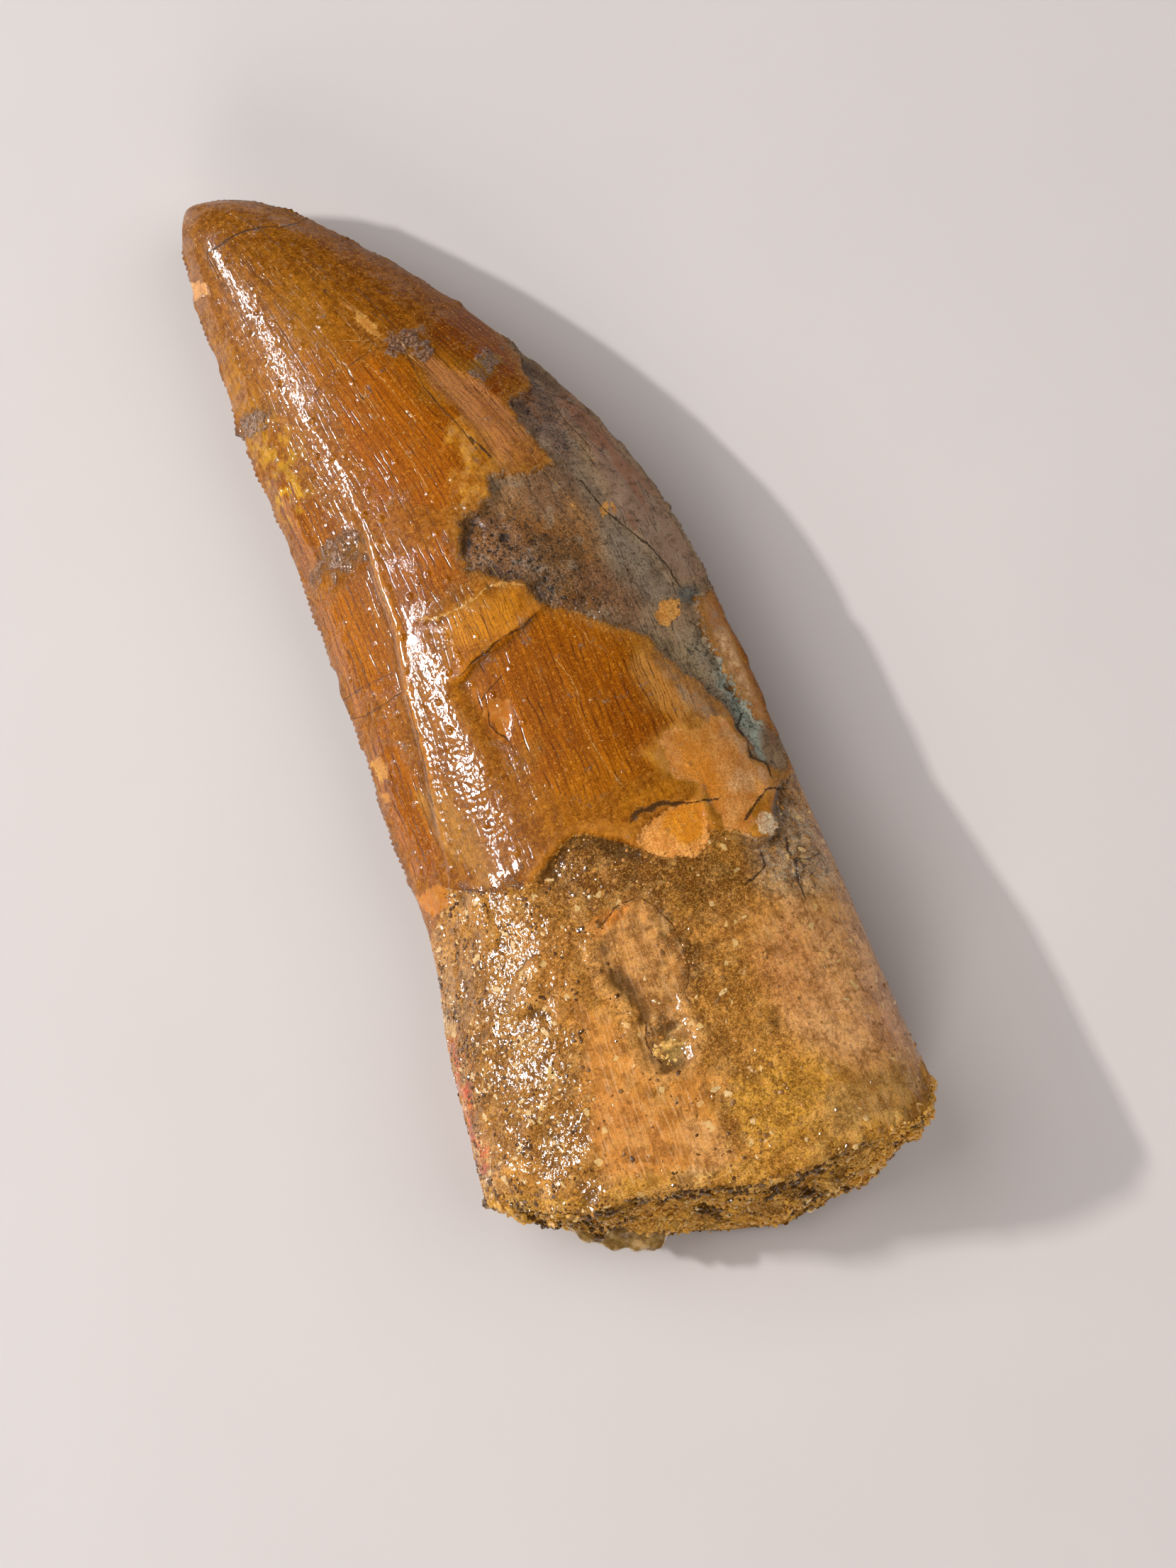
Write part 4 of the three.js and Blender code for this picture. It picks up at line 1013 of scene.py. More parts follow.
store_colour(tooth.data, "enamel_tone", enamel)
store_colour(tooth.data, "root_tone", root)
store_colour(tooth.data, "rock_tone", rock)
store_colour(tooth.data, "chip_tone", chip_tone)
sleek = np.maximum(patch((0.2, 75.0, 4.0, 9.0), 2.0), patch((-3.4, 25.6, 3.0, 5.0, 8.0), 1.0))
level = np.maximum(unlined, patch(ROCK_PLATE, 0.5, 0.2))
# How far each point stands out, for painted highlight on lips and painted shade in hollows; on the break
# random values stand in for it.
stands_out = np.concatenate([prominence, 0.25 * rough(cap_points, 1.3, 33, 2)])
for name, columns in (
    ("depths", [with_break(root_depth, -OUTSIDE), with_break(rock_depth, OUTSIDE), chip_depths]),
    ("crack", [crack_offset, crack_kind, crack_width]),
    ("polish", [with_break(1.0 - crusted, 0.0), sleek, np.maximum(broken, rim_band)]),
    ("kind", [bare, crumbly, level]),
    ("crust_and_relief", [with_break(crusty, 0.0), stands_out, np.zeros(count)]),
):
    store(tooth.data, name, "FLOAT_VECTOR", "vector", columns)
FLOW_WIDTH = 14.0
flow = np.stack([across_all * FLOW_WIDTH, all_y], axis=1)
loop_vertex = np.zeros(len(tooth.data.loops), int)
tooth.data.loops.foreach_get("vertex_index", loop_vertex)
flow_map = tooth.data.uv_layers.new(name="flow")
flow_map.data.foreach_set("uv", flow[loop_vertex].astype(np.float32).ravel())

# The tooth, finish. Clear consolidant was brushed over all of it, so the enamel looks wet and the sand
# glitters. Fine dark growth lines run up the enamel, the root is mottled grain by grain, the rock is duller.


class Wire:
    """An output of a node. Arithmetic on it, also with plain numbers, adds a Math node to its tree."""

    def __init__(self, finish, output):
        self.finish = finish
        self.output = output

    def __add__(self, other):
        return self.finish.math("ADD", self, other)

    def __sub__(self, other):
        return self.finish.math("SUBTRACT", self, other)

    def __rsub__(self, other):
        return self.finish.math("SUBTRACT", other, self)

    def __mul__(self, other):
        return self.finish.math("MULTIPLY", self, other)

    def __truediv__(self, other):
        return self.finish.math("DIVIDE", self, other)

    def __abs__(self):
        return self.finish.math("ABSOLUTE", self)


def shader_tone(tone):
    """A wire as it is, or a screen colour as the value of a colour input."""
    return tone if isinstance(tone, Wire) else (*colour(*tone), 1.0)


class Finish:
    """A material's node tree, with short calls for the few kinds of node that it uses."""

    def __init__(self, name):
        self.material = bpy.data.materials.new(name)
        self.material.use_nodes = True
        self.tree = self.material.node_tree
        self.space = self.add("TexCoord", "Object")

    def put(self, node, values):
        """Links a wire to each input of a node, or sets the input's own value."""
        for key, value in values.items():
            if isinstance(value, Wire):
                self.tree.links.new(value.output, node.inputs[key])
            else:
                node.inputs[key].default_value = value

    def add(self, kind, output, values=None, **settings):
        """Adds a node of a kind with its settings and inputs, and returns one of its outputs."""
        node = self.tree.nodes.new("ShaderNode" + kind)
        for key, value in settings.items():
            setattr(node, key, value)
        self.put(node, values or {})
        return Wire(self, node.outputs[output])

    def shade(self, values):
        """Sets inputs of the material's shader."""
        self.put(self.tree.nodes["Principled BSDF"], values)

    def read(self, name, output="Color"):
        """The colour stored under a name, or its three numbers as a vector."""
        return self.add("Attribute", output, attribute_name=name)

    def parts(self, vector):
        """The three numbers of a vector."""
        first = self.add("SeparateXYZ", 0, {0: vector})
        return [Wire(self, output) for output in first.output.node.outputs]

    def math(self, operation, first, second=0.5):
        """One arithmetic step."""
        return self.add("Math", 0, {0: first, 1: second}, operation=operation)

    def fade(self, value, low, high, to_low=0.0, to_high=1.0):
        """Smooth step of a value from to_low at low to to_high at high."""
        values = {0: value, 1: low, 2: high, 3: to_low, 4: to_high}
        return self.add("MapRange", 0, values, interpolation_type="SMOOTHSTEP")

    def weigh(self, share, under, over):
        """Blend of two numbers by a share."""
        return self.add("Mix", 0, {0: share, 2: under, 3: over})

    def layers(self, under, rows):
        """Lays colours over a colour one by one: each row is a share and a wire or a screen colour."""
        for share, over in rows:
            values = {0: share, 6: shader_tone(under), 7: shader_tone(over)}
            under = self.add("Mix", 2, values, data_type="RGBA")
        return under

    def scaled(self, vector, stretch):
        """A vector scaled along its three axes, as the inputs of a pattern."""
        return {"Vector": self.add("Mapping", 0, {"Vector": vector, "Scale": stretch}), "Scale": 1.0}

    def noise(self, vector, stretch, detail=2.0, rough_by=0.55, twist=0.0):
        """Random pattern on a vector, with a stretch along each axis, finer detail, and a twist."""
        values = {"Detail": detail, "Roughness": rough_by, "Distortion": twist}
        return self.add("TexNoise", "Fac", self.scaled(vector, stretch) | values)

    def cells(self, vector, stretch):
        """Random cells like packed grains: one random number a cell, and the distance from its middle."""
        distance = self.add("TexVoronoi", "Distance", self.scaled(vector, stretch))
        return self.parts(Wire(self, distance.output.node.outputs["Color"]))[0], distance

    def bump(self, height, depth):
        """Normal of a surface raised by the height, which is 1 at the depth in metres."""
        return self.add("Bump", 0, {"Strength": 1.0, "Distance": depth, "Height": height})


def even(per_millimetre):
    """The same scale on all three axes of Object coordinates, in steps to a millimetre."""
    return (per_millimetre * 1000.0,) * 3


finish = Finish("fossil_tooth")
fade, weigh, space = finish.fade, finish.weigh, finish.space
flow_space = finish.add("UVMap", 0, uv_map="flow")
root_inside, rock_inside, chip_inside = finish.parts(finish.read("depths", "Vector"))
crack_side, crack_pale, crack_reach = finish.parts(finish.read("crack", "Vector"))
calmness, sleekness, on_the_break = finish.parts(finish.read("polish", "Vector"))
bareness, crumbliness, levelness = finish.parts(finish.read("kind", "Vector"))
crustiness, standing_out, _ = finish.parts(finish.read("crust_and_relief", "Vector"))
fine_grain = finish.noise(space, even(9.0), 2.0, 0.6)
grain = finish.noise(space, even(4.5), 3.0, 0.65)
coarse_grain = finish.noise(space, even(2.0), 2.0, 0.6)
blotch = finish.noise(space, even(0.7), 3.0, 0.6)
sand_pick, sand_away = finish.cells(space, even(7.5))
coarse_pick, _ = finish.cells(space, even(2.3))
band = finish.noise(flow_space, (1.1, 0.05, 1.0), 3.0, 0.6, 0.3)
broken_up = finish.noise(flow_space, (1.5, 0.42, 1.0), 3.0, 0.6)
growth_warp = finish.noise(flow_space, (0.5, 0.2, 1.0), 2.0, 0.6)
flow_across = finish.parts(flow_space)[0]

# Masks with crisp ragged borders.
border_wave = (coarse_grain - 0.5) * 0.8
crumb_wave = (grain - 0.5) * 1.2
root_mask = fade(root_inside + border_wave, -0.04, 0.05)
rock_edge = rock_inside + border_wave * 1.6 + crumb_wave
rock_mask = fade(rock_edge, -0.12, 0.18)
rock_halo = fade(rock_edge, -1.1, 0.0) * 0.55
chip_edge = chip_inside + border_wave * 0.8 + crumb_wave * 0.35
chip_mask = fade(chip_edge, -0.07, 0.1)
crust_wave = border_wave * 2.0 + grain * 1.6 + fade(blotch, 0.35, 0.65, -0.5, 0.4)
crusty_mask = fade(crustiness + crust_wave, 1.3, 1.9)
crack_half = crack_reach * fade(blotch, 0.3, 0.7, 0.2, 0.7) * fade(grain, 0.38, 0.6, 0.35, 1.5)
crack_away = abs(crack_side + border_wave * 0.25)
crack_mask = fade(1.0 - crack_away / finish.math("MAXIMUM", crack_half, 0.001), 0.0, 0.6)
# Painted highlight on lips and painted shade in hollows, by how far each point stands out.
painted_lip_light = fade(standing_out, 0.04, 0.16)
painted_hollow_shade = fade(standing_out, -0.03, -0.18)

# Growth lines are waves across the crown, bent by a slow noise and broken up along their length.
LINE_PITCH, LINE_BEND, FINER = 0.5, 14.0, 2.3
lined = 1.0 - levelness
line_phase = flow_across * (2.0 * math.pi / LINE_PITCH) + growth_warp * LINE_BEND
line_wave = finish.math("SINE", line_phase)
growth = fade(line_wave, 0.45, 0.95) * fade(broken_up, 0.42, 0.62) * lined
growth = growth * fade(grain, 0.34, 0.56, 0.35, 1.0)
fine_growth = fade(finish.math("SINE", line_phase * FINER), 0.4, 0.95) * lined * fade(broken_up, 0.52, 0.4)
pale_growth = fade(line_wave, -0.6, -0.98) * lined * fade(grain, 0.44, 0.6)

# Where the enamel isn't bare, a granular brown film lies on it under the lacquer.
film = fade(grain * 0.9 + blotch * 0.9 - bareness, 0.3, 0.7)
film_tone = finish.layers((100, 56, 6), [(fade(coarse_grain, 0.38, 0.62), (158, 100, 24))])

# Enamel: broad bands, dark growth lines, and fine tan dust under the lacquer.
enamel_paint = finish.layers(finish.read("enamel_tone"), [
    (fade(band, 0.36, 0.6, 0.4, 0.0), (112, 50, 0)),
    (fade(band, 0.52, 0.68, 0.0, 0.3), (196, 110, 2)),
    (fade(blotch, 0.5, 0.66, 0.0, 0.35), (156, 92, 14)),
    (pale_growth * weigh(film, 0.3, 0.12), (206, 124, 14)),
    (growth * weigh(film, 0.9, 0.5), (76, 30, 0)),
    (fine_growth * weigh(film, 0.7, 0.35), (84, 34, 0)),
    (fade(coarse_grain, 0.44, 0.56) * levelness * 0.5, (176, 124, 70)),
    (fade(blotch, 0.5, 0.4) * levelness * 0.5, (170, 98, 26)),
    (film * 0.5, film_tone),
    (fade(fine_grain, 0.36, 0.5, 0.28, 0.0), (84, 40, 0)),
    (fade(fine_grain, 0.54, 0.7, 0.0, 0.28), (206, 126, 10)),
    (fade(grain, 0.57, 0.66, 0.0, 0.4), (206, 142, 46)),
    (fade(grain, 0.42, 0.32, 0.0, 0.5), (74, 36, 0)),
    # Painted highlight on lips and painted shade, dark brown, in hollows.
    (painted_lip_light * coarse_grain * 0.5, (222, 146, 56)),
    (painted_hollow_shade * 0.6, (64, 34, 6)),
])

# Chips are nearly even.
chip_paint = finish.layers(finish.read("chip_tone"), [
    (fade(fine_grain, 0.4, 0.54, 0.45, 0.0), (150, 84, 22)),
    (fade(grain, 0.42, 0.54, 0.4, 0.0), (150, 92, 36)),
    (fade(blotch, 0.44, 0.58, 0.0, 0.4), (190, 108, 20)),
    (fade(coarse_grain, 0.52, 0.68, 0.0, 0.3), (228, 172, 96)),
    (fade(band, 0.4, 0.56, 0.3, 0.0), (150, 90, 34)),
    (fade(chip_edge, 0.0, 0.16, 0.5, 0.0), (140, 92, 44)),
])

# The root is mottled from dark grains to cream ones, less so where it is calm, and scratched there.
patchy = fade(calmness, 0.0, 0.7, 0.45, 0.06)
speckled = fade(calmness, 0.0, 0.9, 0.32, 0.16)
rough_side = fade(calmness, 0.0, 0.9, 1.0, 0.35)
smudge = finish.noise(space, even(1.1), 3.0, 0.7, 0.8)
clumps = finish.noise(space, even(2.6), 3.0, 0.7, 0.6)
scratch = finish.noise(flow_space, (7.0, 0.5, 1.0), 2.0, 0.6)
cluster = fade(coarse_grain, 0.34, 0.62, 0.4, 0.06)
root_paint = finish.layers(finish.read("root_tone"), [
    (fade(clumps, 0.42, 0.52, 0.55, 0.0) * rough_side, (84, 46, 10)),
    (fade(clumps, 0.54, 0.62, 0.0, 0.45) * rough_side, (224, 152, 62)),
    (fade(smudge, 0.38, 0.5, 0.55, 0.0), (112, 66, 16)),
    (fade(smudge, 0.54, 0.64, 0.0, 0.4), (216, 148, 72)),
    (fade(blotch, 0.36, 0.54, 0.45, 0.0), (124, 72, 14)),
    (fade(blotch, 0.52, 0.68, 0.0, 0.35), (226, 170, 96)),
    (fade(scratch, 0.52, 0.66, 0.0, 0.4) * calmness, (228, 184, 136)),
    (fade(scratch, 0.48, 0.36, 0.0, 0.4) * calmness, (140, 88, 44)),
    (fade(sand_pick - cluster, -0.08, 0.08, 0.6, 0.0) * patchy, (70, 38, 4)),
    (fade(sand_pick, 0.86, 0.96, 0.0, 0.4) * patchy, (228, 178, 100)),
    (fade(fine_grain, 0.38, 0.5, 1.0, 0.0) * speckled, (88, 48, 4)),
    (fade(fine_grain, 0.54, 0.64, 0.0, 1.0) * speckled, (236, 178, 90)),
    (fade(grain, 0.38, 0.48, 1.0, 0.0) * speckled, (84, 46, 6)),
    (fade(coarse_pick, 0.985, 0.99, 0.0, 0.7), (220, 184, 120)),
    # A little painted highlight on lips and painted shade in hollows.
    (painted_lip_light * 0.2, (222, 160, 84)),
    (painted_hollow_shade * 0.62, (50, 30, 6)),
])

# The rock is cut by dark fissures, and its crumbs are ochre with painted shade, near black, in the pits
# between them.
streak_noise = finish.noise(flow_space, (1.3, 0.14, 1.0), 3.0, 0.6, 0.4)
fissure = fade(abs(streak_noise - 0.5), 0.002, 0.012, 0.6, 0.0)
rock_paint = finish.layers(finish.read("rock_tone"), [
    (fade(blotch, 0.34, 0.5, 0.4, 0.0), (84, 58, 36)),
    (fade(blotch, 0.54, 0.7, 0.0, 0.35), (164, 150, 126)),
    (fade(grain, 0.46, 0.38, 0.0, weigh(levelness, 0.5, 0.2)), (66, 52, 40)),
    (fade(fine_grain, 0.54, 0.68, 0.0, 0.3), (190, 168, 140)),
    (fissure * (1.0 - crumbliness), (58, 48, 40)),
    (fade(streak_noise, 0.52, 0.64) * levelness * 0.5, (146, 92, 64)),
    (fade(coarse_grain, 0.5, 0.6) * crumbliness * 0.4, (150, 98, 40)),
    (fade(grain, 0.5, 0.4) * crumbliness * 0.75, (40, 28, 16)),
    # Painted shade, near black, in the deepest pits of the bump, strongest among the crumbs.
    (fade(coarse_grain, 0.42, 0.36) * weigh(crumbliness, 0.35, 0.9), (26, 20, 14)),
    # Painted shade in hollows.
    (painted_hollow_shade * weigh(crumbliness, 0.3, 0.7), (34, 26, 18)),
])

# Grey crust on the enamel, a stained band round the rock, and cracks over all of it.
crust_paint = finish.layers((72, 48, 36), [
    (fade(grain, 0.42, 0.6), (150, 118, 98)),
    (fade(fine_grain, 0.4, 0.54, 0.6, 0.0), (52, 32, 20)),
    (fade(coarse_grain, 0.52, 0.62, 0.0, 0.5), (146, 122, 106)),
])
halo_tone = finish.layers((92, 58, 24), [(fade(grain, 0.44, 0.58), (160, 112, 50))])
crack_dark = finish.layers((92, 50, 6), [(fade(crack_reach, 0.08, 0.16), (46, 28, 8))])
crack_tone = finish.layers(crack_dark, [(crack_pale, (206, 150, 76))])
body = finish.layers(enamel_paint, [
    (crusty_mask * fade(blotch, 0.3, 0.6, 0.35, 0.8), crust_paint),
    (rock_halo, halo_tone),
    (root_mask, root_paint),
    (rock_mask, rock_paint),
    (chip_mask, chip_paint),
    (crack_mask * weigh(crack_pale, 0.85, 0.6), crack_tone),
])

# Relief too fine for the mesh: brush marks on the lacquer, grains on the root, pores in the rock.
RELIEF_DEPTH = 0.00006
ripple = finish.noise(space, even(3.1), 0.0)
swell = finish.noise(space, even(1.8), 1.0, 0.4)
drop_pick, drop_away = finish.cells(space, even(1.05))
drops = fade(drop_away, 0.0, 0.36, 1.0, 0.0) * fade(drop_pick, 0.7, 0.74)
enamel_height = swell * weigh(film, 0.4, 0.6) + ripple * weigh(film, 0.14, 0.46)
enamel_height = (enamel_height + growth * -0.16 + drops * 1.8) * fade(sleekness, 0.0, 1.0, 1.0, 0.45)
root_height = sand_away * sand_away * -0.16 + swell * 0.9 + ripple * 1.3 + drops
root_height = root_height * (1.0 - calmness * 0.55)
rock_rough = weigh(levelness, weigh(crumbliness, 1.0, 2.4), 0.5)
rock_height = (grain * 1.2 + coarse_grain * 1.8) * rock_rough - fissure
surface_height = weigh(crusty_mask, enamel_height, ripple * 2.0 + swell * 3.0)
surface_height = weigh(rock_mask, weigh(root_mask, surface_height, root_height), rock_height)
surface_height = surface_height - crack_mask * (1.5 - crack_pale)
raised = finish.bump(surface_height, RELIEF_DEPTH)

# The lacquer is thick on enamel and root, thinner to the right, and nearly gone on rock and break.
roughness = weigh(on_the_break, weigh(rock_mask, weigh(root_mask, 0.42, 0.5), 0.62), 0.85)
dull_side = fade(flow_across, 8.5, 13.0, 1.0, 0.35)
coat = weigh(root_mask, dull_side * weigh(film, 1.0, fade(blotch, 0.36, 0.56, 0.3, 1.0)), 1.0)
coat = weigh(on_the_break, weigh(rock_mask, coat, weigh(crumbliness, 0.2, 0.9)), 0.12)
finish.shade({
    "Base Color": body,
    "Normal": raised,
    "Coat Normal": raised,
    "Roughness": roughness + blotch * 0.12,
    "Coat Weight": coat,
    "Coat Roughness": 0.055,
    "Coat IOR": 1.45,
    "Specular IOR Level": 0.05,
})
tooth.data.materials.append(finish.material)

# Sand grains. Coarse sand and pale shards of bone are held to the root and the break by the consolidant, and
# a few grains of dust to the enamel. Each is a small flattened lump with flat faces, partly sunk in the
# surface under it.
GRAINS, SHARDS, DUST, BREAK_GRAINS = 9100, 170, 200, 6500
GRAIN_LEAST, GRAIN_MORE, GRAIN_POWER = 0.045, 0.12, 2.2
BREAK_LEAST, BREAK_MORE, BREAK_POWER = 0.07, 0.2, 3.0
FLATTENED, SUNK, JITTER, ASIDE, BREAK_ASIDE = 0.6, 0.1, 0.4, 0.14, 0.12
STRETCH_LOW, STRETCH_HIGH = 0.6, 1.4
SHARD_SHAPE = (1.6, 0.9, 0.5)
CREAM_SHARE = 0.05
GOLDEN = (1.0 + math.sqrt(5.0)) / 2.0
LUMP = np.array([
    [-1, GOLDEN, 0], [1, GOLDEN, 0], [-1, -GOLDEN, 0], [1, -GOLDEN, 0], [0, -1, GOLDEN], [0, 1, GOLDEN],
    [0, -1, -GOLDEN], [0, 1, -GOLDEN], [GOLDEN, 0, -1], [GOLDEN, 0, 1], [-GOLDEN, 0, -1], [-GOLDEN, 0, 1],
]) / 1.9
LUMP_FACES = np.array([
    [0, 11, 5], [0, 5, 1], [0, 1, 7], [0, 7, 10], [0, 10, 11], [1, 5, 9], [5, 11, 4], [11, 10, 2],
    [10, 7, 6], [7, 1, 8], [3, 9, 4], [3, 4, 2], [3, 2, 6], [3, 6, 8], [3, 8, 9], [4, 9, 5],
    [2, 4, 11], [6, 2, 10], [8, 6, 7], [9, 8, 1],
])
CORNERS = len(LUMP)
crowd = on_root * crusted * (0.25 + 0.75 * smooth(small_crust, -0.2, 0.5)) * np.where(front, 1.0, 0.5)
crowd *= mix(1.0, 0.22, smooth(x, -2.0, 9.0) * front)
crowd[edge_first:] = 0.0
in_pit = smooth(pit_depth, 0.1, 0.8) * (1.0 - smooth(y, 7.4, 8.2))
crowd += 0.6 * crumbled * on_root
crowd += 2.0 * in_pit
open_enamel = (1.0 - on_root) * (1.0 - on_rock) * front
open_enamel[edge_first:] = 0.0


def scatter(weight, amount):
    """Vertex numbers drawn at random by weight."""
    return rng.choice(len(weight), amount, p=weight / weight.sum())


spots = np.concatenate([scatter(crowd, GRAINS), scatter(crowd, SHARDS), scatter(open_enamel, DUST)])
sizes = np.concatenate([
    GRAIN_LEAST + GRAIN_MORE * rng.random(GRAINS) ** GRAIN_POWER,
    rng.uniform(0.1, 0.26, SHARDS),
    rng.uniform(0.03, 0.06, DUST),
])
grain_count = len(spots)
shards, dust = slice(GRAINS, GRAINS + SHARDS), slice(GRAINS + SHARDS, grain_count)
stretch = rng.uniform(STRETCH_LOW, STRETCH_HIGH, (grain_count, 3))
stretch[shards] *= SHARD_SHAPE
rng.random(grain_count)  # Not used: it keeps every later draw, and so every grain, as it is.
normal = normals_of(points)[spots]
side_way = np.cross(normal, rng.normal(0.0, 1.0, (grain_count, 3)))
side_way /= np.linalg.norm(side_way, axis=1, keepdims=True)
side_way, other_way, normal = side_way[:, None], np.cross(normal, side_way)[:, None], normal[:, None]
lumps = LUMP[None] * stretch[:, None, :] * sizes[:, None, None]
lumps = lumps * (1.0 + rng.uniform(-JITTER, JITTER, (grain_count, CORNERS, 1)))
lumps[..., 2] *= FLATTENED
aside = rng.uniform(-ASIDE, ASIDE, (grain_count, 2))[:, None]
grain_points = points[spots][:, None, :] - normal * SUNK * sizes[:, None, None]
grain_points = grain_points + lumps[..., :1] * side_way + lumps[..., 1:2] * other_way
grain_points = grain_points + lumps[..., 2:] * normal
grain_points = grain_points + aside[..., :1] * side_way + aside[..., 1:] * other_way


def lightness_of(middles, size, seed):
    """How light each grain is, 0 to 1: light and dark grains lie in groups, with some out of place."""
    return smooth(cloud(middles, size, seed) + rng.normal(0.0, 0.1, len(middles)), 0.3, 0.7)[:, None]


lightness = lightness_of(points[spots], 0.9, 67)
dark_grain = mix(colour(78, 46, 12), colour(136, 92, 42), smooth(x[spots], 0.0, 6.0)[:, None])
grain_tone = mix(dark_grain, colour(196, 134, 58), lightness)
grain_tone[rng.random(grain_count) < CREAM_SHARE] = colour(224, 184, 122)
grain_tone[shards] = colour(222, 184, 124)
grain_tone[dust] = colour(226, 180, 110)
grain_tone = mix(grain_tone, colour(244, 196, 104), (0.7 * in_pit[spots])[:, None])

chosen = rng.choice(len(cap_points), BREAK_GRAINS)
break_sizes = BREAK_LEAST + BREAK_MORE * rng.random((BREAK_GRAINS, 1, 1)) ** BREAK_POWER
break_lumps = LUMP[None] * rng.uniform(STRETCH_LOW, STRETCH_HIGH, (BREAK_GRAINS, 1, 3)) * break_sizes
break_lumps = break_lumps * (1.0 + rng.uniform(-JITTER, JITTER, (BREAK_GRAINS, CORNERS, 1)))
break_middle = cap_points[chosen] + rng.uniform(-BREAK_ASIDE, BREAK_ASIDE, (BREAK_GRAINS, 3))
break_grain_tone = mix(colour(80, 52, 12), colour(222, 164, 66), lightness_of(break_middle, 1.7, 69))
break_grain_tone[rng.random(BREAK_GRAINS) < CREAM_SHARE] = colour(234, 200, 134)


def grain_object(name, lump_points, lump_tones):
    """One joined mesh of lumps, each of a tone, with its corners kept above the worn flat underside."""
    lump_points[..., 2] = np.maximum(lump_points[..., 2], WORN_FLAT)
    lump_faces = (LUMP_FACES[None] + CORNERS * np.arange(len(lump_points))[:, None, None]).reshape(-1, 3)
    made = make_object(name, to_metres(lump_points), lump_faces.tolist(), False)
    store_colour(made.data, "grain_tone", np.repeat(lump_tones, CORNERS, axis=0))
    made.data.materials.append(sand_finish.material)
    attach(made, "root")


sand_finish = Finish("sand_grains")
speck = sand_finish.noise(sand_finish.space, even(9.0), 2.0)
sand_finish.shade({
    "Base Color": sand_finish.layers(sand_finish.read("grain_tone"), [
        (sand_finish.fade(speck, 0.35, 0.6, 0.4, 0.0), (90, 54, 18)),
    ]),
    "Roughness": sand_finish.fade(speck, 0.3, 0.7, 0.35, 0.6),
    "Normal": sand_finish.bump(speck, 0.00002),
    "Coat Weight": 0.9,
    "Coat Roughness": 0.07,
    "Specular IOR Level": 0.2,
})
grain_object("sand_grains", grain_points, grain_tone)
grain_object("break_grains", break_middle[:, None, :] + break_lumps, break_grain_tone)

# Consolidant flake. Where the clear consolidant ran down over the broken end it set as a thin yellowish lip
# that stands out of the break near the short edge. It is a curved strip, thick at its root, thin at its rim.
FLAKE_PATH = np.array([[-11.0, 1.7], [-9.8, 0.7], [-8.4, -0.5], [-7.2, -1.4], [-6.2, -2.2], [-5.2, -2.2]])
FLAKE_REACH = np.array([0.7, 1.3, 1.5, 1.5, 1.4, 0.7])
FLAKE_HEIGHT, FLAKE_THICK, FLAKE_ROOT = 5.4, 0.3, 1.0
ALONG_FLAKE, ACROSS_FLAKE = 56, 12
flake_along = np.linspace(0.0, 1.0, ALONG_FLAKE)
knots = np.linspace(0.0, 1.0, len(FLAKE_PATH))
flake_line = np.stack([np.interp(flake_along, knots, FLAKE_PATH[:, axis]) for axis in (0, 1)], axis=1)
flake_line = np.concatenate([flake_line, np.full((ALONG_FLAKE, 1), FLAKE_HEIGHT)], axis=1)
flake_run = np.gradient(flake_line, axis=0)
flake_run /= np.linalg.norm(flake_run, axis=1, keepdims=True)
outward = np.stack([flake_run[:, 1], -flake_run[:, 0], np.zeros(ALONG_FLAKE)], axis=1)
reach_out = np.interp(flake_along, knots, FLAKE_REACH) * (1.0 + 0.35 * rough(flake_line, 1.1, 61, 2))
flake_across = np.linspace(0.0, 1.0, ACROSS_FLAKE)
ring_across = np.concatenate([flake_across, flake_across[::-1]])
ring_side = np.concatenate([np.ones(ACROSS_FLAKE), -np.ones(ACROSS_FLAKE)])
reach_at = reach_out[:, None] * ring_across[None, :] - FLAKE_ROOT * (1.0 - ring_across[None, :])
flake_points = flake_line[:, None, :] + outward[:, None, :] * reach_at[..., None]
half_thick = FLAKE_THICK / 2.0 * np.sqrt(np.maximum(1.0 - ring_across ** 2, 0.03))
wave_up = 0.3 * rough(flake_points, 1.6, 63, 2) - 0.5 * ring_across[None, :] ** 2
flake_points[..., 2] += ring_side[None, :] * half_thick[None, :] + wave_up
ring_count = 2 * ACROSS_FLAKE
flake_index = np.arange(ALONG_FLAKE * ring_count).reshape(ALONG_FLAKE, ring_count)
next_index = np.roll(flake_index, -1, axis=1)
flake_faces = np.stack([flake_index[:-1], flake_index[1:], next_index[1:], next_index[:-1]], axis=-1)
flake_faces = flake_faces.reshape(-1, 4).tolist()
flake_faces += [flake_index[0].tolist(), flake_index[-1, ::-1].tolist()]
flake = make_object("consolidant_flake", to_metres(flake_points), flake_faces)
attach(flake, "root")
flake_finish = Finish("consolidant")
cloudy = flake_finish.noise(flake_finish.space, even(1.6), 3.0)
flake_finish.shade({
    "Base Color": flake_finish.layers((128, 96, 46), [
        (flake_finish.fade(cloudy, 0.35, 0.65), (190, 154, 96)),
    ]),
    "Roughness": flake_finish.fade(cloudy, 0.3, 0.7, 0.12, 0.35),
    "Normal": flake_finish.bump(cloudy, 0.00008),
    "Transmission Weight": 0.35,
})
flake.data.materials.append(flake_finish.material)

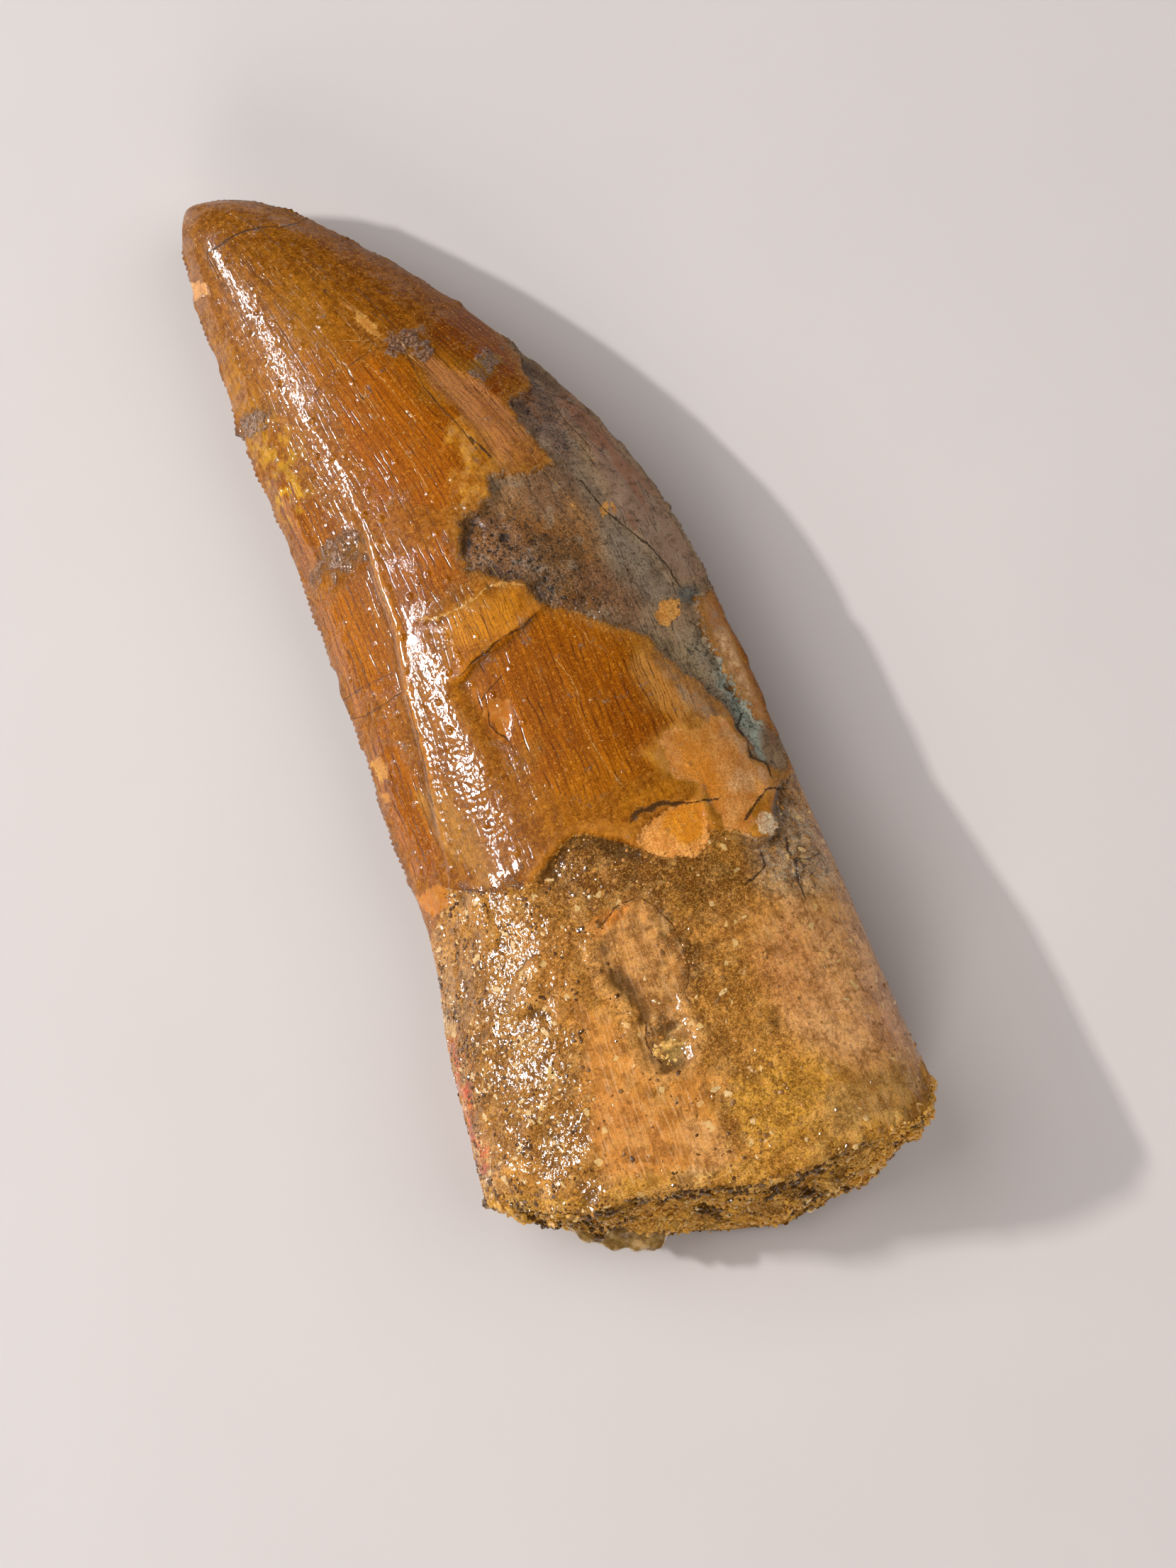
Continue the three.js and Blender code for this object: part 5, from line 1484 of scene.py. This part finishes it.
# Table: a pale sheet, plain and smooth, that the tooth lies on.
TABLE_HALF = 0.6
table_corners = [(TABLE_HALF * way_x, TABLE_HALF * way_y, 0.0) for way_x, way_y in (
    (-1.0, -1.0), (1.0, -1.0), (1.0, 1.0), (-1.0, 1.0),
)]
table = make_object("table", table_corners, [(0, 1, 2, 3)], False)
table_finish = Finish("table")
paper = table_finish.noise(table_finish.space, even(0.04), 3.0)
table_finish.shade({
    "Base Color": table_finish.layers((192, 185, 183), [(paper, (198, 191, 189))]),
    "Roughness": 0.7,
})
table.data.materials.append(table_finish.material)

# Light: a small strong lamp low on the left lights the tooth and draws the bright streak down it. Three more
# there show in the lacquer only: one makes the streak brighter, and two draw it on up the crown and the tip.
# Three broad soft lamps light the rest and show in no reflection; round them is an even, dim, pale room.
target = Vector(to_metres(np.array([4.0, 32.0, 7.0]))[0])


def lamp(name, azimuth, elevation, distance, size, power, tone, lit=True, mirrored=True):
    """A lamp, long along the tooth and wide across, at an azimuth (0 is +Y, 90 is +X) and an elevation.

    One that isn't lit only shows in reflections, and one that isn't mirrored doesn't show in them.
    """
    data = bpy.data.lights.new(name, "AREA")
    data.shape = "RECTANGLE"
    data.size, data.size_y = size
    data.energy = power
    data.color = tone
    turn_to, rise = math.radians(azimuth), math.radians(elevation)
    way = Vector((math.sin(turn_to) * math.cos(rise), math.cos(turn_to) * math.cos(rise), math.sin(rise)))
    made = bpy.data.objects.new(name, data)
    made.location = target + way * distance
    along_tooth = (Vector((0.0, 1.0, 0.0)) - way * way.y).normalized()
    made.rotation_euler = Matrix((along_tooth, way.cross(along_tooth), way)).transposed().to_euler()
    made.visible_diffuse = lit
    made.visible_glossy = mirrored
    bpy.context.scene.collection.objects.link(made)


WARM, COOL, SOFT_TONE = (1.0, 0.97, 0.95), (0.94, 0.97, 1.0), (1.0, 0.98, 0.96)
lamp("key_lamp", -58.0, 36.0, 0.6, (0.05, 0.022), 2.5, (1.0, 0.99, 0.97))
lamp("shine_lamp", -58.0, 36.0, 0.6, (0.05, 0.022), 4.2, (0.92, 0.96, 1.0), lit=False)
lamp("strip_lamp", -50.0, 37.0, 0.6, (0.3, 0.016), 2.0, COOL, lit=False)
lamp("tip_lamp", -37.0, 25.0, 0.6, (0.14, 0.02), 1.3, COOL, lit=False)
lamp("soft_lamp", -40.0, 60.0, 0.8, (0.6, 0.6), 2.9, SOFT_TONE, mirrored=False)
lamp("fill_lamp", 112.0, 52.0, 0.8, (0.7, 0.7), 2.8, WARM, mirrored=False)
lamp("foot_lamp", -150.0, 26.0, 0.8, (0.35, 0.35), 3.0, WARM, mirrored=False)
world = bpy.data.worlds.new("room")
bpy.context.scene.world = world
world.use_nodes = True
room = world.node_tree.nodes["Background"]
room.inputs["Color"].default_value = (1.0, 0.97, 0.96, 1.0)
room.inputs["Strength"].default_value = 0.05
bpy.context.scene.view_settings.view_transform = "Standard"

# Camera: it looks down on the tooth from a little below the root, turned so that the tip points up and left.
TILT = math.radians(12.0)
LEAN = math.radians(29.05)
LENS = 85.0
SENSOR = 36.0
DISTANCE = 0.2611
aim = Vector(to_metres(np.array([4.99, 27.26, 7.0]))[0])
up_tooth = Vector((0.0, math.cos(TILT), math.sin(TILT)))
across_tooth = Vector((1.0, 0.0, 0.0))
back_way = Vector((0.0, -math.sin(TILT), math.cos(TILT)))
picture_right = across_tooth * math.cos(LEAN) - up_tooth * math.sin(LEAN)
picture_up = up_tooth * math.cos(LEAN) + across_tooth * math.sin(LEAN)
camera_data = bpy.data.cameras.new("camera")
camera_data.sensor_fit = "VERTICAL"
camera_data.sensor_height = SENSOR
camera_data.lens = LENS
camera_data.clip_start = 0.01
camera = bpy.data.objects.new("camera", camera_data)
turn_matrix = Matrix((picture_right, picture_up, back_way)).transposed()
camera.matrix_world = Matrix.Translation(aim + back_way * DISTANCE) @ turn_matrix.to_4x4()
bpy.context.scene.collection.objects.link(camera)
bpy.context.scene.camera = camera
